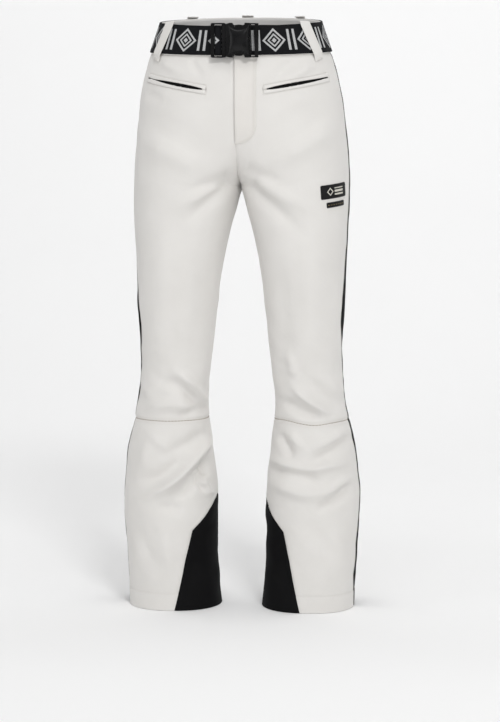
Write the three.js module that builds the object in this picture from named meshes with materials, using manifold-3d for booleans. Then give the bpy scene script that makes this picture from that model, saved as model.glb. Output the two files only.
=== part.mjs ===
// Slim flared softshell ski trousers with a webbing belt and side-release buckle, as worn.
// Millimetres, +Z up, front of the garment faces -Y, the wearer's left is +X.
// The origin is the centre of the waist opening; the hems lie WAIST_HEIGHT below it.
import * as THREE from 'three';
import { mergeVertices } from 'three/addons/utils/BufferGeometryUtils.js';
import Module from 'manifold-3d';

const wasm = await Module();
wasm.setup();

// ---------------------------------------------------------------- driving dimensions
const WAIST_HEIGHT = 985;      // hem to waist plane
const CROTCH = 716;            // hem to crotch point
const KNEE_AXIS = 376;         // hem to the bend of the knee
const KNEE_SEAM = 321;         // hem to the seam that joins thigh and flare panels
const KNEE_FOLD = [296, 462];  // heights between which the cloth folds at the knee
const HIP_AXIS = 812;          // hem to the bend of the hip
const HIP_FOLD = 115;          // width of the slanting band that folds at the hip
const CLOTH = 2.0;             // wall of the bonded cloth with its seam allowances
const GAP = 0.3;               // clearance between sewn pieces
const BAND_LOW = 930;          // lower edge of the waistband at the front
const BELT_WIDTH = 50;
const BELT_THICK = 2.0;
const LOOP_WIDTH = 20;
const BUCKLE_HEIGHT = 56;
const FLY_WIDTH = 34;
const FLY_BOTTOM = 782;
const HALF = GAP / 2;

// ---------------------------------------------------------------- body form, height above hem
// height, inner edge, outer edge of a leg or hip
const WIDTHS = [
  [0, 35.3, 192.4], [57, 40.3, 194.6], [92, 42.4, 197.3], [126, 42.5, 199.4], [161, 41.7, 201.1], [195, 42, 201.6],
  [230, 45, 199.1], [264, 49.5, 196], [290, 51.8, 190.8], [316, 55.0, 183.6], [335, 57.1, 180.4], [352, 57.6, 177.2],
  [368, 56.6, 174.9], [402, 52.9, 171.9], [436, 49, 171.8], [487, 43.9, 174], [521, 39.9, 176.2], [555, 36.2, 176.5],
  [589, 30.9, 177.4], [622, 24.1, 179.3], [656, 15.5, 181], [690, 6.6, 182.1], [716, 0, 182.2], [757, 0, 180.6],
  [791, 0, 177.7], [825, 0, 174.1], [858, 0, 170.3], [891, 0, 163.9], [925, 0, 154.5], [958, 0, 142.5], [988, 0, 132.6], [1010, 0, 129],
];
// height, front, back
const DEPTHS = [
  [0, -80, 86], [57, -79, 86], [126, -78, 86], [195, -76, 84], [250, -72, 78], [300, -67, 71], [316, -65.5, 67],
  [350, -66, 61], [376, -69, 58], [420, -73, 60], [470, -78, 66], [521, -84, 73], [589, -91, 85], [656, -97, 98],
  [716, -102, 112], [757, -105, 124], [791, -108, 130], [825, -111, 130], [858, -112, 125], [891, -112, 117],
  [925, -109, 108], [958, -104, 101], [988, -100, 96], [1010, -98, 94],
];
// height, angle of the front seam of the side panel (degrees, 0 is the outermost line, minus is forward)
const SIDE_SEAM = [
  [0, -4], [30, -8], [60, -13], [110, -12], [150, -8], [200, -5], [250, -6], [316, -8], [335, -4], [370, -9], [400, -8],
  [440, -13], [485, -19], [520, -16], [560, -9], [640, -5], [720, -4], [850, -2], [1010, -2],
];
// height, width of the side panel along the cloth
const SIDE_WIDTH = [[0, 76], [200, 72], [316, 60], [400, 60], [560, 66], [720, 70], [850, 62], [935, 50], [1010, 46]];
// height, angle of the edge of the inner ankle guard (degrees from the front, 180 is the inseam)
const GUARD_TOP = 182;
const GUARD = [[0, 95], [135, 123.5], [GUARD_TOP, 164]];

function spline(table, col) {
  const xs = table.map((r) => r[0]), ys = table.map((r) => r[col]), n = xs.length;
  const d = [], m = new Array(n).fill(0);
  for (let i = 0; i < n - 1; i++) d.push((ys[i + 1] - ys[i]) / (xs[i + 1] - xs[i]));
  m[0] = d[0];
  m[n - 1] = d[n - 2];
  for (let i = 1; i < n - 1; i++) m[i] = d[i - 1] * d[i] <= 0 ? 0 : (2 * d[i - 1] * d[i]) / (d[i - 1] + d[i]);
  return (x) => {
    if (x <= xs[0]) return ys[0];
    if (x >= xs[n - 1]) return ys[n - 1];
    let i = 0;
    while (x > xs[i + 1]) i++;
    const h = xs[i + 1] - xs[i], t = (x - xs[i]) / h, t2 = t * t, t3 = t2 * t;
    return (2 * t3 - 3 * t2 + 1) * ys[i] + (t3 - 2 * t2 + t) * h * m[i] + (-2 * t3 + 3 * t2) * ys[i + 1] + (t3 - t2) * h * m[i + 1];
  };
}
const inner = spline(WIDTHS, 1), outer = spline(WIDTHS, 2), front = spline(DEPTHS, 1), back = spline(DEPTHS, 2);
const seamAngle = spline(SIDE_SEAM, 1), sideWidth = spline(SIDE_WIDTH, 1);
const smooth = (a, b, x) => {
  const t = Math.min(1, Math.max(0, (x - a) / (b - a)));
  return t * t * (3 - 2 * t);
};
const mix = (a, b, t) => a + (b - a) * t;

// A horizontal section of the wearer's left half: points from the centre front (or inseam) round the outside to the centre back.
const SECTION_STEPS = 120;
const cache = new Map();
function section(h) {
  const key = Math.round(h * 50);
  if (cache.has(key)) return cache.get(key);
  h = key / 50;
  const n = mix(2.12, 2.28, smooth(300, 650, h)) - 0.12 * smooth(820, 960, h);
  const xo = outer(h), yf = front(h), yb = back(h), cy = (yf + yb) / 2 + mix(0, -8, smooth(716, 900, h));
  let cx, ai, start;
  if (h <= CROTCH) {
    cx = (inner(h) + xo) / 2;
    ai = cx - inner(h);
    start = Math.PI;
  } else {
    const rise = h - CROTCH;
    cx = mix(xo / 2, 0.001, smooth(0, 215, rise) * 0.6 + smooth(40, 215, rise) * 0.4);
    const rho = Math.exp(-Math.pow(rise / 85, 1.25));
    ai = cx / rho;
    start = Math.acos(Math.max(-1, -Math.pow(rho, n / 2)));
  }
  const ao = xo - cx, e = 2 / n;
  const pts = [];
  for (let i = 0; i <= SECTION_STEPS; i++) {
    const a = mix(-start, start, i / SECTION_STEPS), c = Math.cos(a), s = Math.sin(a);
    const w = c > 0 ? ao : ai, b = s < 0 ? cy - yf : yb - cy;
    pts.push([cx + Math.sign(c) * Math.pow(Math.abs(c), e) * w, cy + Math.sign(s) * Math.pow(Math.abs(s), e) * b, a]);
  }
  if (h > CROTCH) pts[0][0] = pts[SECTION_STEPS][0] = 0;
  const run = [0];
  for (let i = 1; i < pts.length; i++) run.push(run[i - 1] + Math.hypot(pts[i][0] - pts[i - 1][0], pts[i][1] - pts[i - 1][1]));
  const made = { pts, run, length: run[run.length - 1] };
  cache.set(key, made);
  return made;
}
function alongSection(sec, s) {
  const { pts, run, length } = sec;
  s = Math.min(length, Math.max(0, s));
  let lo = 0, hi = run.length - 1;
  while (hi - lo > 1) {
    const mid = (lo + hi) >> 1;
    if (run[mid] <= s) lo = mid;
    else hi = mid;
  }
  const t = (s - run[lo]) / Math.max(1e-9, run[hi] - run[lo]);
  return [mix(pts[lo][0], pts[hi][0], t), mix(pts[lo][1], pts[hi][1], t)];
}
function lengthAtAngle(sec, a) {
  const { pts, run } = sec;
  for (let i = 1; i < pts.length; i++) if (pts[i][2] >= a) return mix(run[i - 1], run[i], (a - pts[i - 1][2]) / (pts[i][2] - pts[i - 1][2]));
  return sec.length;
}
function lengthAtX(sec, x) {
  const { pts, run } = sec;
  for (let i = 1; i < pts.length; i++) if (pts[i][0] >= x) return mix(run[i - 1], run[i], (x - pts[i - 1][0]) / (pts[i][0] - pts[i - 1][0]));
  return sec.length / 2;
}
// The waist edge dips at the centre front and rises at the back.
const dip = (u) => mix(-8, 15, smooth(0.05, 0.95, u));
// The real height of a cloth point: rows fan out round the crotch so that they meet the rise squarely.
function heightOf(h, u) {
  let z = h;
  if (h > CROTCH) {
    const r = h - CROTCH, fan = 140, e = r < fan ? (r * r * (2 - r / fan)) / fan : r;
    const q = Math.max(1 - smooth(0, 0.35, u), 1 - smooth(0, 0.35, 1 - u));
    z = mix(h, CROTCH + e, q);
  }
  return z + dip(u) * smooth(880, 960, h);
}
// A point of the left half at row h and share u of the section, at a distance off outside the cloth's outer face.
function raw(h, u) {
  const z = heightOf(h, u), sec = section(z), p = alongSection(sec, u * sec.length);
  return new THREE.Vector3(p[0], p[1], z);
}
function normal(h, u) {
  const e = 0.012, u0 = Math.max(0, u - e), u1 = Math.min(1, u + e);
  const du = raw(h, u1).sub(raw(h, u0)), dv = raw(h + 4, u).sub(raw(h - 4, u));
  return du.cross(dv).normalize();
}
function cloth(h, u, off = 0) {
  const p = raw(h, u);
  if (!off) return p;
  const n = normal(h, u);
  if (h > CROTCH + 12 && (u < 1e-6 || u > 1 - 1e-6)) n.setX(0).normalize();
  if (h === 0) n.setZ(0).normalize(); // the hem is cut level
  return p.addScaledVector(n, off);
}
const shareOf = (h, s) => s / section(h).length;
const frontSeam = (h) => shareOf(h, lengthAtAngle(section(h), (seamAngle(h) * Math.PI) / 180));
const backSeam = (h) => frontSeam(h) + sideWidth(h) / section(h).length;
const guardAngle = (h) => {
  for (let i = 1; i < GUARD.length; i++) if (h <= GUARD[i][0]) return mix(GUARD[i - 1][1], GUARD[i][1], (h - GUARD[i - 1][0]) / (GUARD[i][0] - GUARD[i - 1][0]));
  return GUARD[GUARD.length - 1][1];
};
const guardFront = (h) => shareOf(h, lengthAtAngle(section(h), (-guardAngle(h) * Math.PI) / 180));
const guardBack = (h) => shareOf(h, lengthAtAngle(section(h), (guardAngle(h) * Math.PI) / 180));
// Share along the section whose point lies at that x on the front.
const shareAtX = (h, x) => shareOf(h, lengthAtX(section(h), x));

// ---------------------------------------------------------------- solids
function upright(geo) {
  // Faces point out: the signed volume of the closed surface is positive.
  const p = geo.attributes.position, ix = geo.index.array;
  let v = 0;
  const a = new THREE.Vector3(), b = new THREE.Vector3(), c = new THREE.Vector3();
  for (let i = 0; i < ix.length; i += 3) {
    a.fromBufferAttribute(p, ix[i]);
    b.fromBufferAttribute(p, ix[i + 1]);
    c.fromBufferAttribute(p, ix[i + 2]);
    v += a.dot(b.cross(c));
  }
  if (v < 0) for (let i = 0; i < ix.length; i += 3) [ix[i + 1], ix[i + 2]] = [ix[i + 2], ix[i + 1]];
  return geo;
}
function closed(geo) {
  geo.deleteAttribute('normal');
  geo.deleteAttribute('uv');
  return upright(mergeVertices(geo, 1e-3));
}
// A slab bent to a form: f(u, t, v) gives the place of share u along, t through and v up the slab.
function slab(nu, nt, nv, f) {
  const g = new THREE.BoxGeometry(1, 1, 1, nu, nt, nv), p = g.attributes.position;
  for (let i = 0; i < p.count; i++) {
    const q = f(p.getX(i) + 0.5, p.getY(i) + 0.5, p.getZ(i) + 0.5);
    p.setXYZ(i, q.x, q.y, q.z);
  }
  return closed(g);
}
// A closed tube bent to a form: f(u, t, v) with u going once round.
function tube(nu, nv, f) {
  const prof = [];
  for (let j = 0; j <= nv; j++) prof.push(new THREE.Vector2(2, j / nv));
  for (let j = nv; j >= 0; j--) prof.push(new THREE.Vector2(1, j / nv));
  prof.push(new THREE.Vector2(2, 0));
  const g = new THREE.LatheGeometry(prof, nu), p = g.attributes.position;
  for (let i = 0; i < p.count; i++) {
    const x = p.getX(i), z = p.getZ(i);
    let u = Math.atan2(x, z) / (2 * Math.PI);
    if (u < -1e-6) u += 1;
    if (u > 1 - 1e-5 || u < 1e-5) u = 0;
    const q = f(u, Math.round(Math.hypot(x, z)) - 1, p.getY(i));
    p.setXYZ(i, q.x, q.y, q.z);
  }
  return closed(g);
}
function toSolid(geo) {
  const g = mergeVertices(geo, 1e-3);
  return new wasm.Manifold(new wasm.Mesh({ numProp: 3, vertProperties: new Float32Array(g.attributes.position.array), triVerts: new Uint32Array(g.index.array) }));
}
function toGeometry(solid) {
  const parts = solid.decompose();
  let best = parts[0];
  for (const s of parts) if (s.volume() > best.volume()) best = s;
  const m = best.getMesh(), n = m.numProp, v = new Float32Array(m.numVert * 3);
  for (let i = 0; i < m.numVert; i++) v.set(m.vertProperties.subarray(i * n, i * n + 3), i * 3);
  return new THREE.BufferGeometry().setAttribute('position', new THREE.BufferAttribute(v, 3)).setIndex(new THREE.BufferAttribute(new Uint32Array(m.triVerts), 1));
}
function block(x0, x1, y0, y1, z0, z1) {
  const g = new THREE.BoxGeometry(x1 - x0, y1 - y0, z1 - z0);
  g.translate((x0 + x1) / 2, (y0 + y1) / 2, (z0 + z1) / 2);
  return closed(g);
}
// The half-space of cloth that lies past share t of the hip fold band, measured along the slanting direction (outward and down).
const SLANT = new THREE.Vector3(Math.SQRT1_2, 0, -Math.SQRT1_2);
function pastFold(distance) {
  const size = 1600, g = new THREE.BoxGeometry(size, size, size);
  g.rotateY(Math.PI / 4);
  g.translate(SLANT.x * (distance + size / 2), 0, CROTCH + SLANT.z * (distance + size / 2));
  return toSolid(closed(g));
}
const pastStart = pastFold(-HALF), pastStartIn = pastFold(HALF), pastEnd = pastFold(HIP_FOLD + HALF), pastEndIn = pastFold(HIP_FOLD - HALF);

const root = new THREE.Group();
const M = (color, roughness = 0.8, metalness = 0) => new THREE.MeshStandardMaterial({ color, roughness, metalness });
const mats = {
  white: M(0xe6e4df, 0.85), black: M(0x17181a, 0.85), webbing: M(0x14161a, 0.8), plastic: M(0x0d0e10, 0.35),
  tape: M(0x1a1a1c, 0.8), metal: M(0x8d8f94, 0.35, 0.9), lining: M(0xd8d7d3, 0.9), rubber: M(0x101114, 0.5), elastic: M(0x222326, 0.8),
};
function add(name, geo, mat) {
  const mesh = new THREE.Mesh(geo, mats[mat]);
  mesh.name = name;
  mesh.position.z = -WAIST_HEIGHT;
  root.add(mesh);
  return mesh;
}
const mirrored = (geo) => {
  const g = geo.clone(), p = g.attributes.position;
  for (let i = 0; i < p.count; i++) p.setX(i, -p.getX(i));
  return upright(g);
};
function pair(name, geo, mat) {
  add(name + '_left', geo, mat);
  add(name + '_right', mirrored(geo), mat);
}
// A cloth panel between two seams, from row h0 to row h1; the edges keep half a gap to their neighbours.
function rowPanel(lo, hi, rows, nu, edge = HALF) {
  const n = rows.length - 1;
  return slab(nu, 1, n, (u, t, v) => {
    const h = rows[Math.round(v * n)], len = section(h).length, a = lo(h) + edge / len, b = hi(h) - edge / len;
    return cloth(h, mix(a, b, u), mix(-CLOTH, 0, t));
  });
}
const evenRows = (h0, h1, n) => Array.from({ length: n + 1 }, (_, i) => mix(h0, h1, i / n));
const panel = (lo, hi, h0, h1, nu, nv) => rowPanel(lo, hi, evenRows(h0, h1, nv), nu);
const zero = () => 0, one = () => 1;

// ---------------------------------------------------------------- hand pocket slit
const POCKET = { x0: 50, h0: 873.5, x1: 150, h1: 895, high: 15 };
const pocketShare = [shareAtX(POCKET.h0, POCKET.x0), shareAtX(POCKET.h1, POCKET.x1)];
// A point beside the slit: share s from its centre end to its outer end, a distance across it and a distance outside the cloth.
const pocketAt = (s, off, across) => cloth(mix(POCKET.h0, POCKET.h1, s) + across, mix(...pocketShare, s), off);
// The slider follows the arc through the two ends and the middle of the slit.
const ARC = (() => {
  const a = pocketAt(0.93, 0, 0), b = pocketAt(0.5, 0, 0), c = pocketAt(0.07, 0, 0);
  const ab = b.clone().sub(a), ac = c.clone().sub(a), axis = ab.clone().cross(ac).normalize();
  const n = ab.clone().cross(ac), d = 2 * n.lengthSq();
  const centre = a.clone().add(n.clone().cross(ab).multiplyScalar(ac.lengthSq()).add(ac.clone().cross(n).multiplyScalar(ab.lengthSq())).divideScalar(d));
  const ra = a.clone().sub(centre), rc = c.clone().sub(centre);
  return { start: a, centre, axis, radius: ra.length(), sweep: (ra.angleTo(rc) * 180) / Math.PI };
})();

// ---------------------------------------------------------------- upper legs and hips
const TOP = 935 - HALF; // seam to the waistband
{
  const rows = 14, low = KNEE_FOLD[1] + HALF;
  const whole = {
    front: toSolid(panel(zero, frontSeam, low, TOP, 9, rows)),
    side: toSolid(panel(frontSeam, backSeam, low, TOP, 3, rows)),
    back: toSolid(panel(backSeam, one, low, TOP, 8, rows)),
  };
  whole.front = whole.front.subtract(toSolid(slab(12, 1, 1, (s, t, v) => pocketAt(mix(0.015, 0.965, s), mix(-5, 4, t), mix(-3, 3, v)))));
  for (const [name, s] of Object.entries(whole)) {
    const mat = name === 'side' ? 'black' : 'white';
    pair(name + '_hip', toGeometry(s.subtract(pastStart)), mat);
    pair(name + '_thigh', toGeometry(s.intersect(pastEnd)), mat);
  }
  // The folding band at the hip, open along the inseam and the crotch.
  const band = toSolid(panel(zero, one, 548, 905, 20, 12)).intersect(pastStartIn).subtract(pastEndIn);
  pair('groin_fold', toGeometry(band), 'white');
}
// ---------------------------------------------------------------- knee band and flared lower legs
pair('knee_fold', tube(22, 5, (u, t, v) => cloth(mix(KNEE_SEAM + HALF, KNEE_FOLD[1] - HALF, v), u, mix(-CLOTH, 0, t))), 'white');
{
  // The lower leg panels share their rows, so that the seams between them stay parallel.
  const top = KNEE_SEAM - HALF, edge = 2 * HALF;
  const low = [0, 34, 68, 101, 135, 150, 166], high = [GUARD_TOP + HALF, 209, 236, 263, 290, top];
  const all = [...low, GUARD_TOP - 0.4, GUARD_TOP + HALF, ...high.slice(1)];
  const sheet = (lo, hi, rows, nu) => toSolid(rowPanel(lo, hi, rows, nu, edge));
  const below = [...low, GUARD_TOP - 0.4, GUARD_TOP + HALF, GUARD_TOP + 1.2];
  pair('front_shin', toGeometry(sheet(zero, frontSeam, high, 8).add(sheet(guardFront, frontSeam, below, 6))), 'white');
  pair('back_shin', toGeometry(sheet(backSeam, one, high, 8).add(sheet(backSeam, guardBack, below, 6))), 'white');
  pair('side_shin', rowPanel(frontSeam, backSeam, all, 3, edge), 'black');
  // The guard wraps the inseam, from its back edge round to its front edge.
  const rows = [...low, GUARD_TOP - 0.4];
  pair('scuff_guard', slab(8, 1, rows.length - 1, (u, t, v) => {
    const h = rows[Math.round(v * (rows.length - 1))], len = section(h).length, a = guardBack(h) + edge / len, b = 1 + guardFront(h) - edge / len;
    const s = mix(a, b, u);
    return cloth(h, s >= 1 ? s - 1 : s, mix(-CLOTH, 0, t));
  }), 'black');
}
// Inner gaiter: a cuff sewn inside the leg that narrows to an elastic opening over the boot.
pair('boot_gaiter', tube(20, 3, (u, t, v) => {
  const h = mix(34, 150, v), p = raw(h, u), c = new THREE.Vector3((inner(h) + outer(h)) / 2, (front(h) + back(h)) / 2, h);
  const k = mix(0.71, 0.955, smooth(0, 1, v)), r = p.clone().sub(c);
  const len = r.length();
  return c.add(r.multiplyScalar((k * len - CLOTH * 0.6 * (1 - t) - 1.2) / len));
}), 'elastic');

// ---------------------------------------------------------------- waistband
// A strip round the waist from one side of the fly to the other, at a distance from the form.
// along: 0 at the centre front of the left half, 1 at the centre back, 2 at the centre front of the right half.
function around(h, along, off) {
  const left = along <= 1, p = cloth(h, left ? along : 2 - along, off);
  if (!left) p.x = -p.x;
  if (along === 1) p.x = 0;
  return p;
}
// Rows of the waistband, parallel to its dipping edge.
const BAND_TOP = 985;
function strip(a0, a1, h0, h1, off0, off1, nu, nv = 1) {
  return slab(nu, 1, nv, (u, t, v) => around(mix(h0, h1, v), mix(a0, a1, u), mix(off0, off1, t)));
}
add('waistband_shell', strip(0.012, 1.988, 935 + HALF, BAND_TOP, -1.4, 0.6, 40), 'white');
add('waistband_facing', strip(0.012, 1.988, 936, BAND_TOP - 1, -3.2, -1.8, 40), 'lining');

// ---------------------------------------------------------------- belt and buckle
const BELT_IN = 1.4, BELT_OUT = BELT_IN + BELT_THICK;
const BELT_H0 = 935, BELT_H1 = 985; // the belt lies over the waistband
const clothFront = (x, h, off) => {
  const u = shareAtX(h, Math.abs(x)), p = cloth(h, u, off);
  p.x = x;
  return p;
};
const shareAcross = (h, x) => {
  let u = shareAtX(h, x);
  for (let i = 0; i < 6; i++) u *= x / Math.max(1, cloth(h, u).x);
  return u;
};
// Share of the half waist at which the belt leaves the buckle.
const WAIST_ROW = 960;
const sUp = section(WAIST_ROW).length;
const BUCKLE_HALF = 38;
const beltLeftStart = shareAtX(WAIST_ROW, 44), loopShare = 0.3285;
// main run: from the socket half of the buckle, left side, back, right side, to the right front loop
add('belt_webbing', strip(beltLeftStart, 2 - loopShare, BELT_H0, BELT_H1, BELT_IN, BELT_OUT, 34), 'webbing');
add('belt_front_right', strip(2 - loopShare + 0.0015, 2 - beltLeftStart, BELT_H0, BELT_H1, BELT_IN, BELT_OUT, 8), 'webbing');

// Buckle local frame: x across, y out of the belly, z up, centred on the belt.
const BUCKLE_Y = front(918) - 3.4, BUCKLE_Z = 960 - 7;
const bz = (z) => BUCKLE_Z + z;
const box = (x0, x1, d0, d1, z0, z1) => block(x0, x1, BUCKLE_Y - d1, BUCKLE_Y - d0, bz(z0), bz(z1)); // d is the distance in front of the back face
function plate(outline, d0, d1, holes = []) {
  const shape = new THREE.Shape(outline.map(([x, z]) => new THREE.Vector2(x, z)));
  for (const hole of holes) shape.holes.push(new THREE.Path(hole.map(([x, z]) => new THREE.Vector2(x, z))));
  const g = new THREE.ExtrudeGeometry(shape, { depth: d1 - d0, bevelEnabled: false });
  g.rotateX(Math.PI / 2); // shape y becomes z, depth becomes -y
  g.translate(0, BUCKLE_Y - d0, BUCKLE_Z);
  return closed(g);
}
const rect = (x0, x1, z0, z1) => [[x0, z0], [x1, z0], [x1, z1], [x0, z1]];
function rounded(x0, x1, z0, z1, r, n = 3) {
  const pts = [];
  for (const [cx, cz, a0] of [[x1 - r, z0 + r, -90], [x1 - r, z1 - r, 0], [x0 + r, z1 - r, 90], [x0 + r, z0 + r, 180]])
    for (let i = 0; i <= n; i++) {
      const a = ((a0 + (90 * i) / n) * Math.PI) / 180;
      pts.push([cx + r * Math.cos(a), cz + r * Math.sin(a)]);
    }
  return pts;
}
const BH = BUCKLE_HEIGHT / 2, MOUTH = -12, PAD = 8.5;
{
  // Socket half: a housing open towards the plug half, waisted at the top and bottom where the release pads show, with a bar for the webbing.
  const body = [[MOUTH, -BH + 1.5], [-6, -BH]], n = 8;
  for (let i = 0; i <= n; i++) body.push([PAD - 10 * Math.cos((Math.PI * i) / n), -BH + 7 * Math.sin((Math.PI * i) / n)]);
  body.push([21, -BH], [BUCKLE_HALF + 2, -BH + 0.5], [BUCKLE_HALF + 2, BH - 0.5], [21, BH]);
  for (let i = 0; i <= n; i++) body.push([PAD + 10 * Math.cos((Math.PI * i) / n), BH - 7 * Math.sin((Math.PI * i) / n)]);
  body.push([-6, BH], [MOUTH, BH - 1.5]);
  let s = toSolid(plate(body, 0, 13, [rect(28, 34, -25.8, 25.8)]));
  s = s.subtract(toSolid(box(26, BUCKLE_HALF + 3, 6.2, 14, -40, 40))); // the bar end is thinner than the housing
  s = s.subtract(toSolid(box(MOUTH - 1, 23, 2.6, 10.2, -26, 26))); // cavity for the plug, open at its mouth
  add('buckle_socket', toGeometry(s), 'plastic');
  // Plug half: ladder frame for the webbing and a middle guide tongue.
  let p = toSolid(plate(rounded(-BUCKLE_HALF, MOUTH - 0.6, -BH, BH, 3), 0.4, 9.6, [rect(-32, -20, -25.8, 25.8)]));
  p = p.subtract(toSolid(box(-BUCKLE_HALF - 1, -18.5, 6.4, 14, -25.8, 25.8)));
  p = p.add(toSolid(box(MOUTH - 1, 18, 4.0, 8.6, -4.5, 4.5)));
  add('buckle_plug', toGeometry(p), 'plastic');
  // Release prongs: springy arms whose pads show in the waisted sides.
  const arm = (sign) => {
    const o = [[-12.2, 12], [5, 15.6], [8, 12.6], [19, 15.2], [20.6, 17.5], [17.5, 22.5], [13.5, 24.8], [8.5, 25.4], [3.5, 24.8], [-0.5, 22], [-1.5, 19.2], [-12.2, 16]];
    return plate(sign > 0 ? o : o.map(([x, z]) => [x, -z]).reverse(), 4.2, 8.4);
  };
  add('release_prong_upper', arm(1), 'plastic');
  add('release_prong_lower', arm(-1), 'plastic');
}
// Doubled webbing end that shows in the slot of the plug half.
add('belt_tab', box(-31.4, -20.6, 0.9, 5.2, -24.5, 24.5).clone(), 'webbing');
// ---------------------------------------------------------------- belt loops
function beltLoop(along, slant = 0, half = LOOP_WIDTH / 2) {
  // A strip folded over the waistband edge, down outside the belt, and sewn to the body below it.
  const du = half / section(WAIST_ROW).length;
  const path = [ // row, distance outside the form; the strip is 1.5 thick
    [920, 0.6], [926, 1.1], [931, 3.0], [934.4, 4.4], [960, 4.6], [984, 4.5], [988.4, 3.6], [988.8, 1.0],
  ];
  return slab(3, 1, path.length - 1, (u, t, v) => {
    const i = Math.round(v * (path.length - 1)), [h, off] = path[i], a = along + slant * (955 - Math.min(h, 984)) + mix(-du, du, u);
    if (i >= 6) { // over the top edge
      const p = around(985, a, i === 6 ? 3.6 + 0 : 0.2);
      p.z += t ? 3.4 : 1.6;
      if (i === 6) p.copy(around(985, a, t ? 6.1 : 4.6)).z += t ? 3.4 : 1.6;
      return p;
    }
    return around(h, a, off + 1.5 * t);
  });
}
// The front loops lean towards the middle going up.
add('belt_loop_front_left', beltLoop(loopShare, 0.000525), 'white');
add('belt_loop_front_right', beltLoop(2 - loopShare, -0.000525), 'white');
add('belt_loop_back_left', beltLoop(0.74), 'white');
add('belt_loop_back_right', beltLoop(1.26), 'white');
add('belt_loop_centre_back', beltLoop(1.0), 'white');

// ---------------------------------------------------------------- fly
// Cover on the left front, sewn with a curved line.
add('fly_placket', slab(4, 1, 9, (u, t, v) => {
  const h = mix(FLY_BOTTOM, 928, v);
  const right = FLY_WIDTH * Math.sqrt(Math.max(0.02, 1 - Math.pow(Math.max(0, 1 - (h - FLY_BOTTOM) / 30), 2)));
  return clothFront(mix(0.2, Math.max(6, right), u), h, mix(2.0, 3.2, t));
}), 'white');
const flyY = (h) => Math.min(front(h), front(900)) + CLOTH; // inside face of the cloth
const FLY_IN = -103.5;
// The zip leans back going down, following the belly: its parts are drawn upright and leaned about the top of the chain.
const ZIP_LEAN = 3.8, ZIP_TRAVEL = 95;
const leaned = (geo) => geo.translate(0, 96, -915).rotateX((ZIP_LEAN * Math.PI) / 180).translate(0, -96, 915);
add('fly_shield', leaned(block(-13, 22, -88, -86.6, FLY_BOTTOM + 12, 926)), 'lining');
add('zip_tape_left', leaned(block(3.0, 15, -96.4, -95.4, 800, 924)), 'tape');
add('zip_tape_right', leaned(block(-15, -3.0, -96.4, -95.4, 800, 924)), 'tape');
add('zip_chain', leaned(block(-2.7, 2.7, -97.2, -94.8, 800, 909.4)), 'tape');
// Slider at the top of the chain, its two plates joined by a neck; the pull's cross bar turns under the bridge.
{
  let s = toSolid(block(-5.2, 5.2, -100.4, -91.6, 910, 921));
  s = s.subtract(toSolid(block(-6, 6, -98.0, -94.0, 909, 922)));
  s = s.add(toSolid(block(-1.1, 1.1, -98.5, -93.5, 913, 918)));
  s = s.add(toSolid(block(-1.0, 1.0, -103.4, -100.2, 911.4, 912.8))).add(toSolid(block(-1.0, 1.0, -103.4, -100.2, 918.4, 919.8))).add(toSolid(block(-1.0, 1.0, -103.4, -102.4, 911.4, 919.8)));
  add('fly_slider', leaned(toGeometry(s)), 'metal');
}
add('fly_pull', leaned(toGeometry(toSolid(block(-2.8, 2.8, -102.0, -100.8, 886, 916.4)).subtract(toSolid(block(-1.5, 1.5, -103, -100, 908.8, 915.2))).subtract(toSolid(block(-1.2, 1.2, -103, -100, 888, 891))))), 'metal');

// ---------------------------------------------------------------- hand pockets
{
  let w = toSolid(slab(12, 1, 2, (s, t, v) => pocketAt(mix(-0.02, 1.0, s), mix(0.9, 2.3, t), mix(-7.5, 7.5, v))));
  w = w.subtract(toSolid(slab(12, 1, 1, (s, t, v) => pocketAt(mix(0.02, 0.96, s), mix(-2, 5, t), mix(-2.2, 2.2, v)))));
  pair('pocket_welt', toGeometry(w), 'white');
  pair('pocket_bag', toGeometry(toSolid(slab(6, 1, 4, (s, t, v) => pocketAt(mix(0.02, 0.98, s), mix(-8.2, -6.2, t), mix(-128 + 14 * Math.abs(s - 0.5), 9, v)))).subtract(pastStart)), 'lining');
  pair('pocket_zip', slab(12, 1, 1, (s, t, v) => pocketAt(mix(-0.01, 0.985, s), mix(-4.9, -3.7, t), mix(-6, 6, v))), 'tape');
}
{
  // Slider and pull in the frame of the arc: along towards the centre, out of the cloth, up across the slit.
  const out = ARC.start.clone().sub(ARC.centre).normalize(), dir = ARC.axis.clone().cross(out).normalize();
  const up = ARC.axis.clone().multiplyScalar(ARC.axis.z < 0 ? -1 : 1);
  const local = (l0, l1, o0, o1, w0, w1) => toSolid(slab(1, 1, 1, (u, t, v) => ARC.start.clone().addScaledVector(dir, mix(l0, l1, u)).addScaledVector(out, mix(o0, o1, t)).addScaledVector(up, mix(w0, w1, v))));
  pair('pocket_slider', toGeometry(local(-3.5, 3.5, -3.2, -0.2, -1.5, 1.5).add(local(-3.2, -2.2, -0.4, 2.4, -0.5, 0.5)).add(local(1.8, 2.8, -0.4, 2.4, -0.5, 0.5)).add(local(-3.2, 2.8, 1.6, 2.4, -0.5, 0.5))), 'plastic');
  pair('pocket_pull', toGeometry(local(-0.6, 14, 0.2, 1.2, -1.5, 1.5).subtract(local(0.6, 3.8, 0, 3, -0.9, 0.9))), 'plastic');
}
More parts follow.
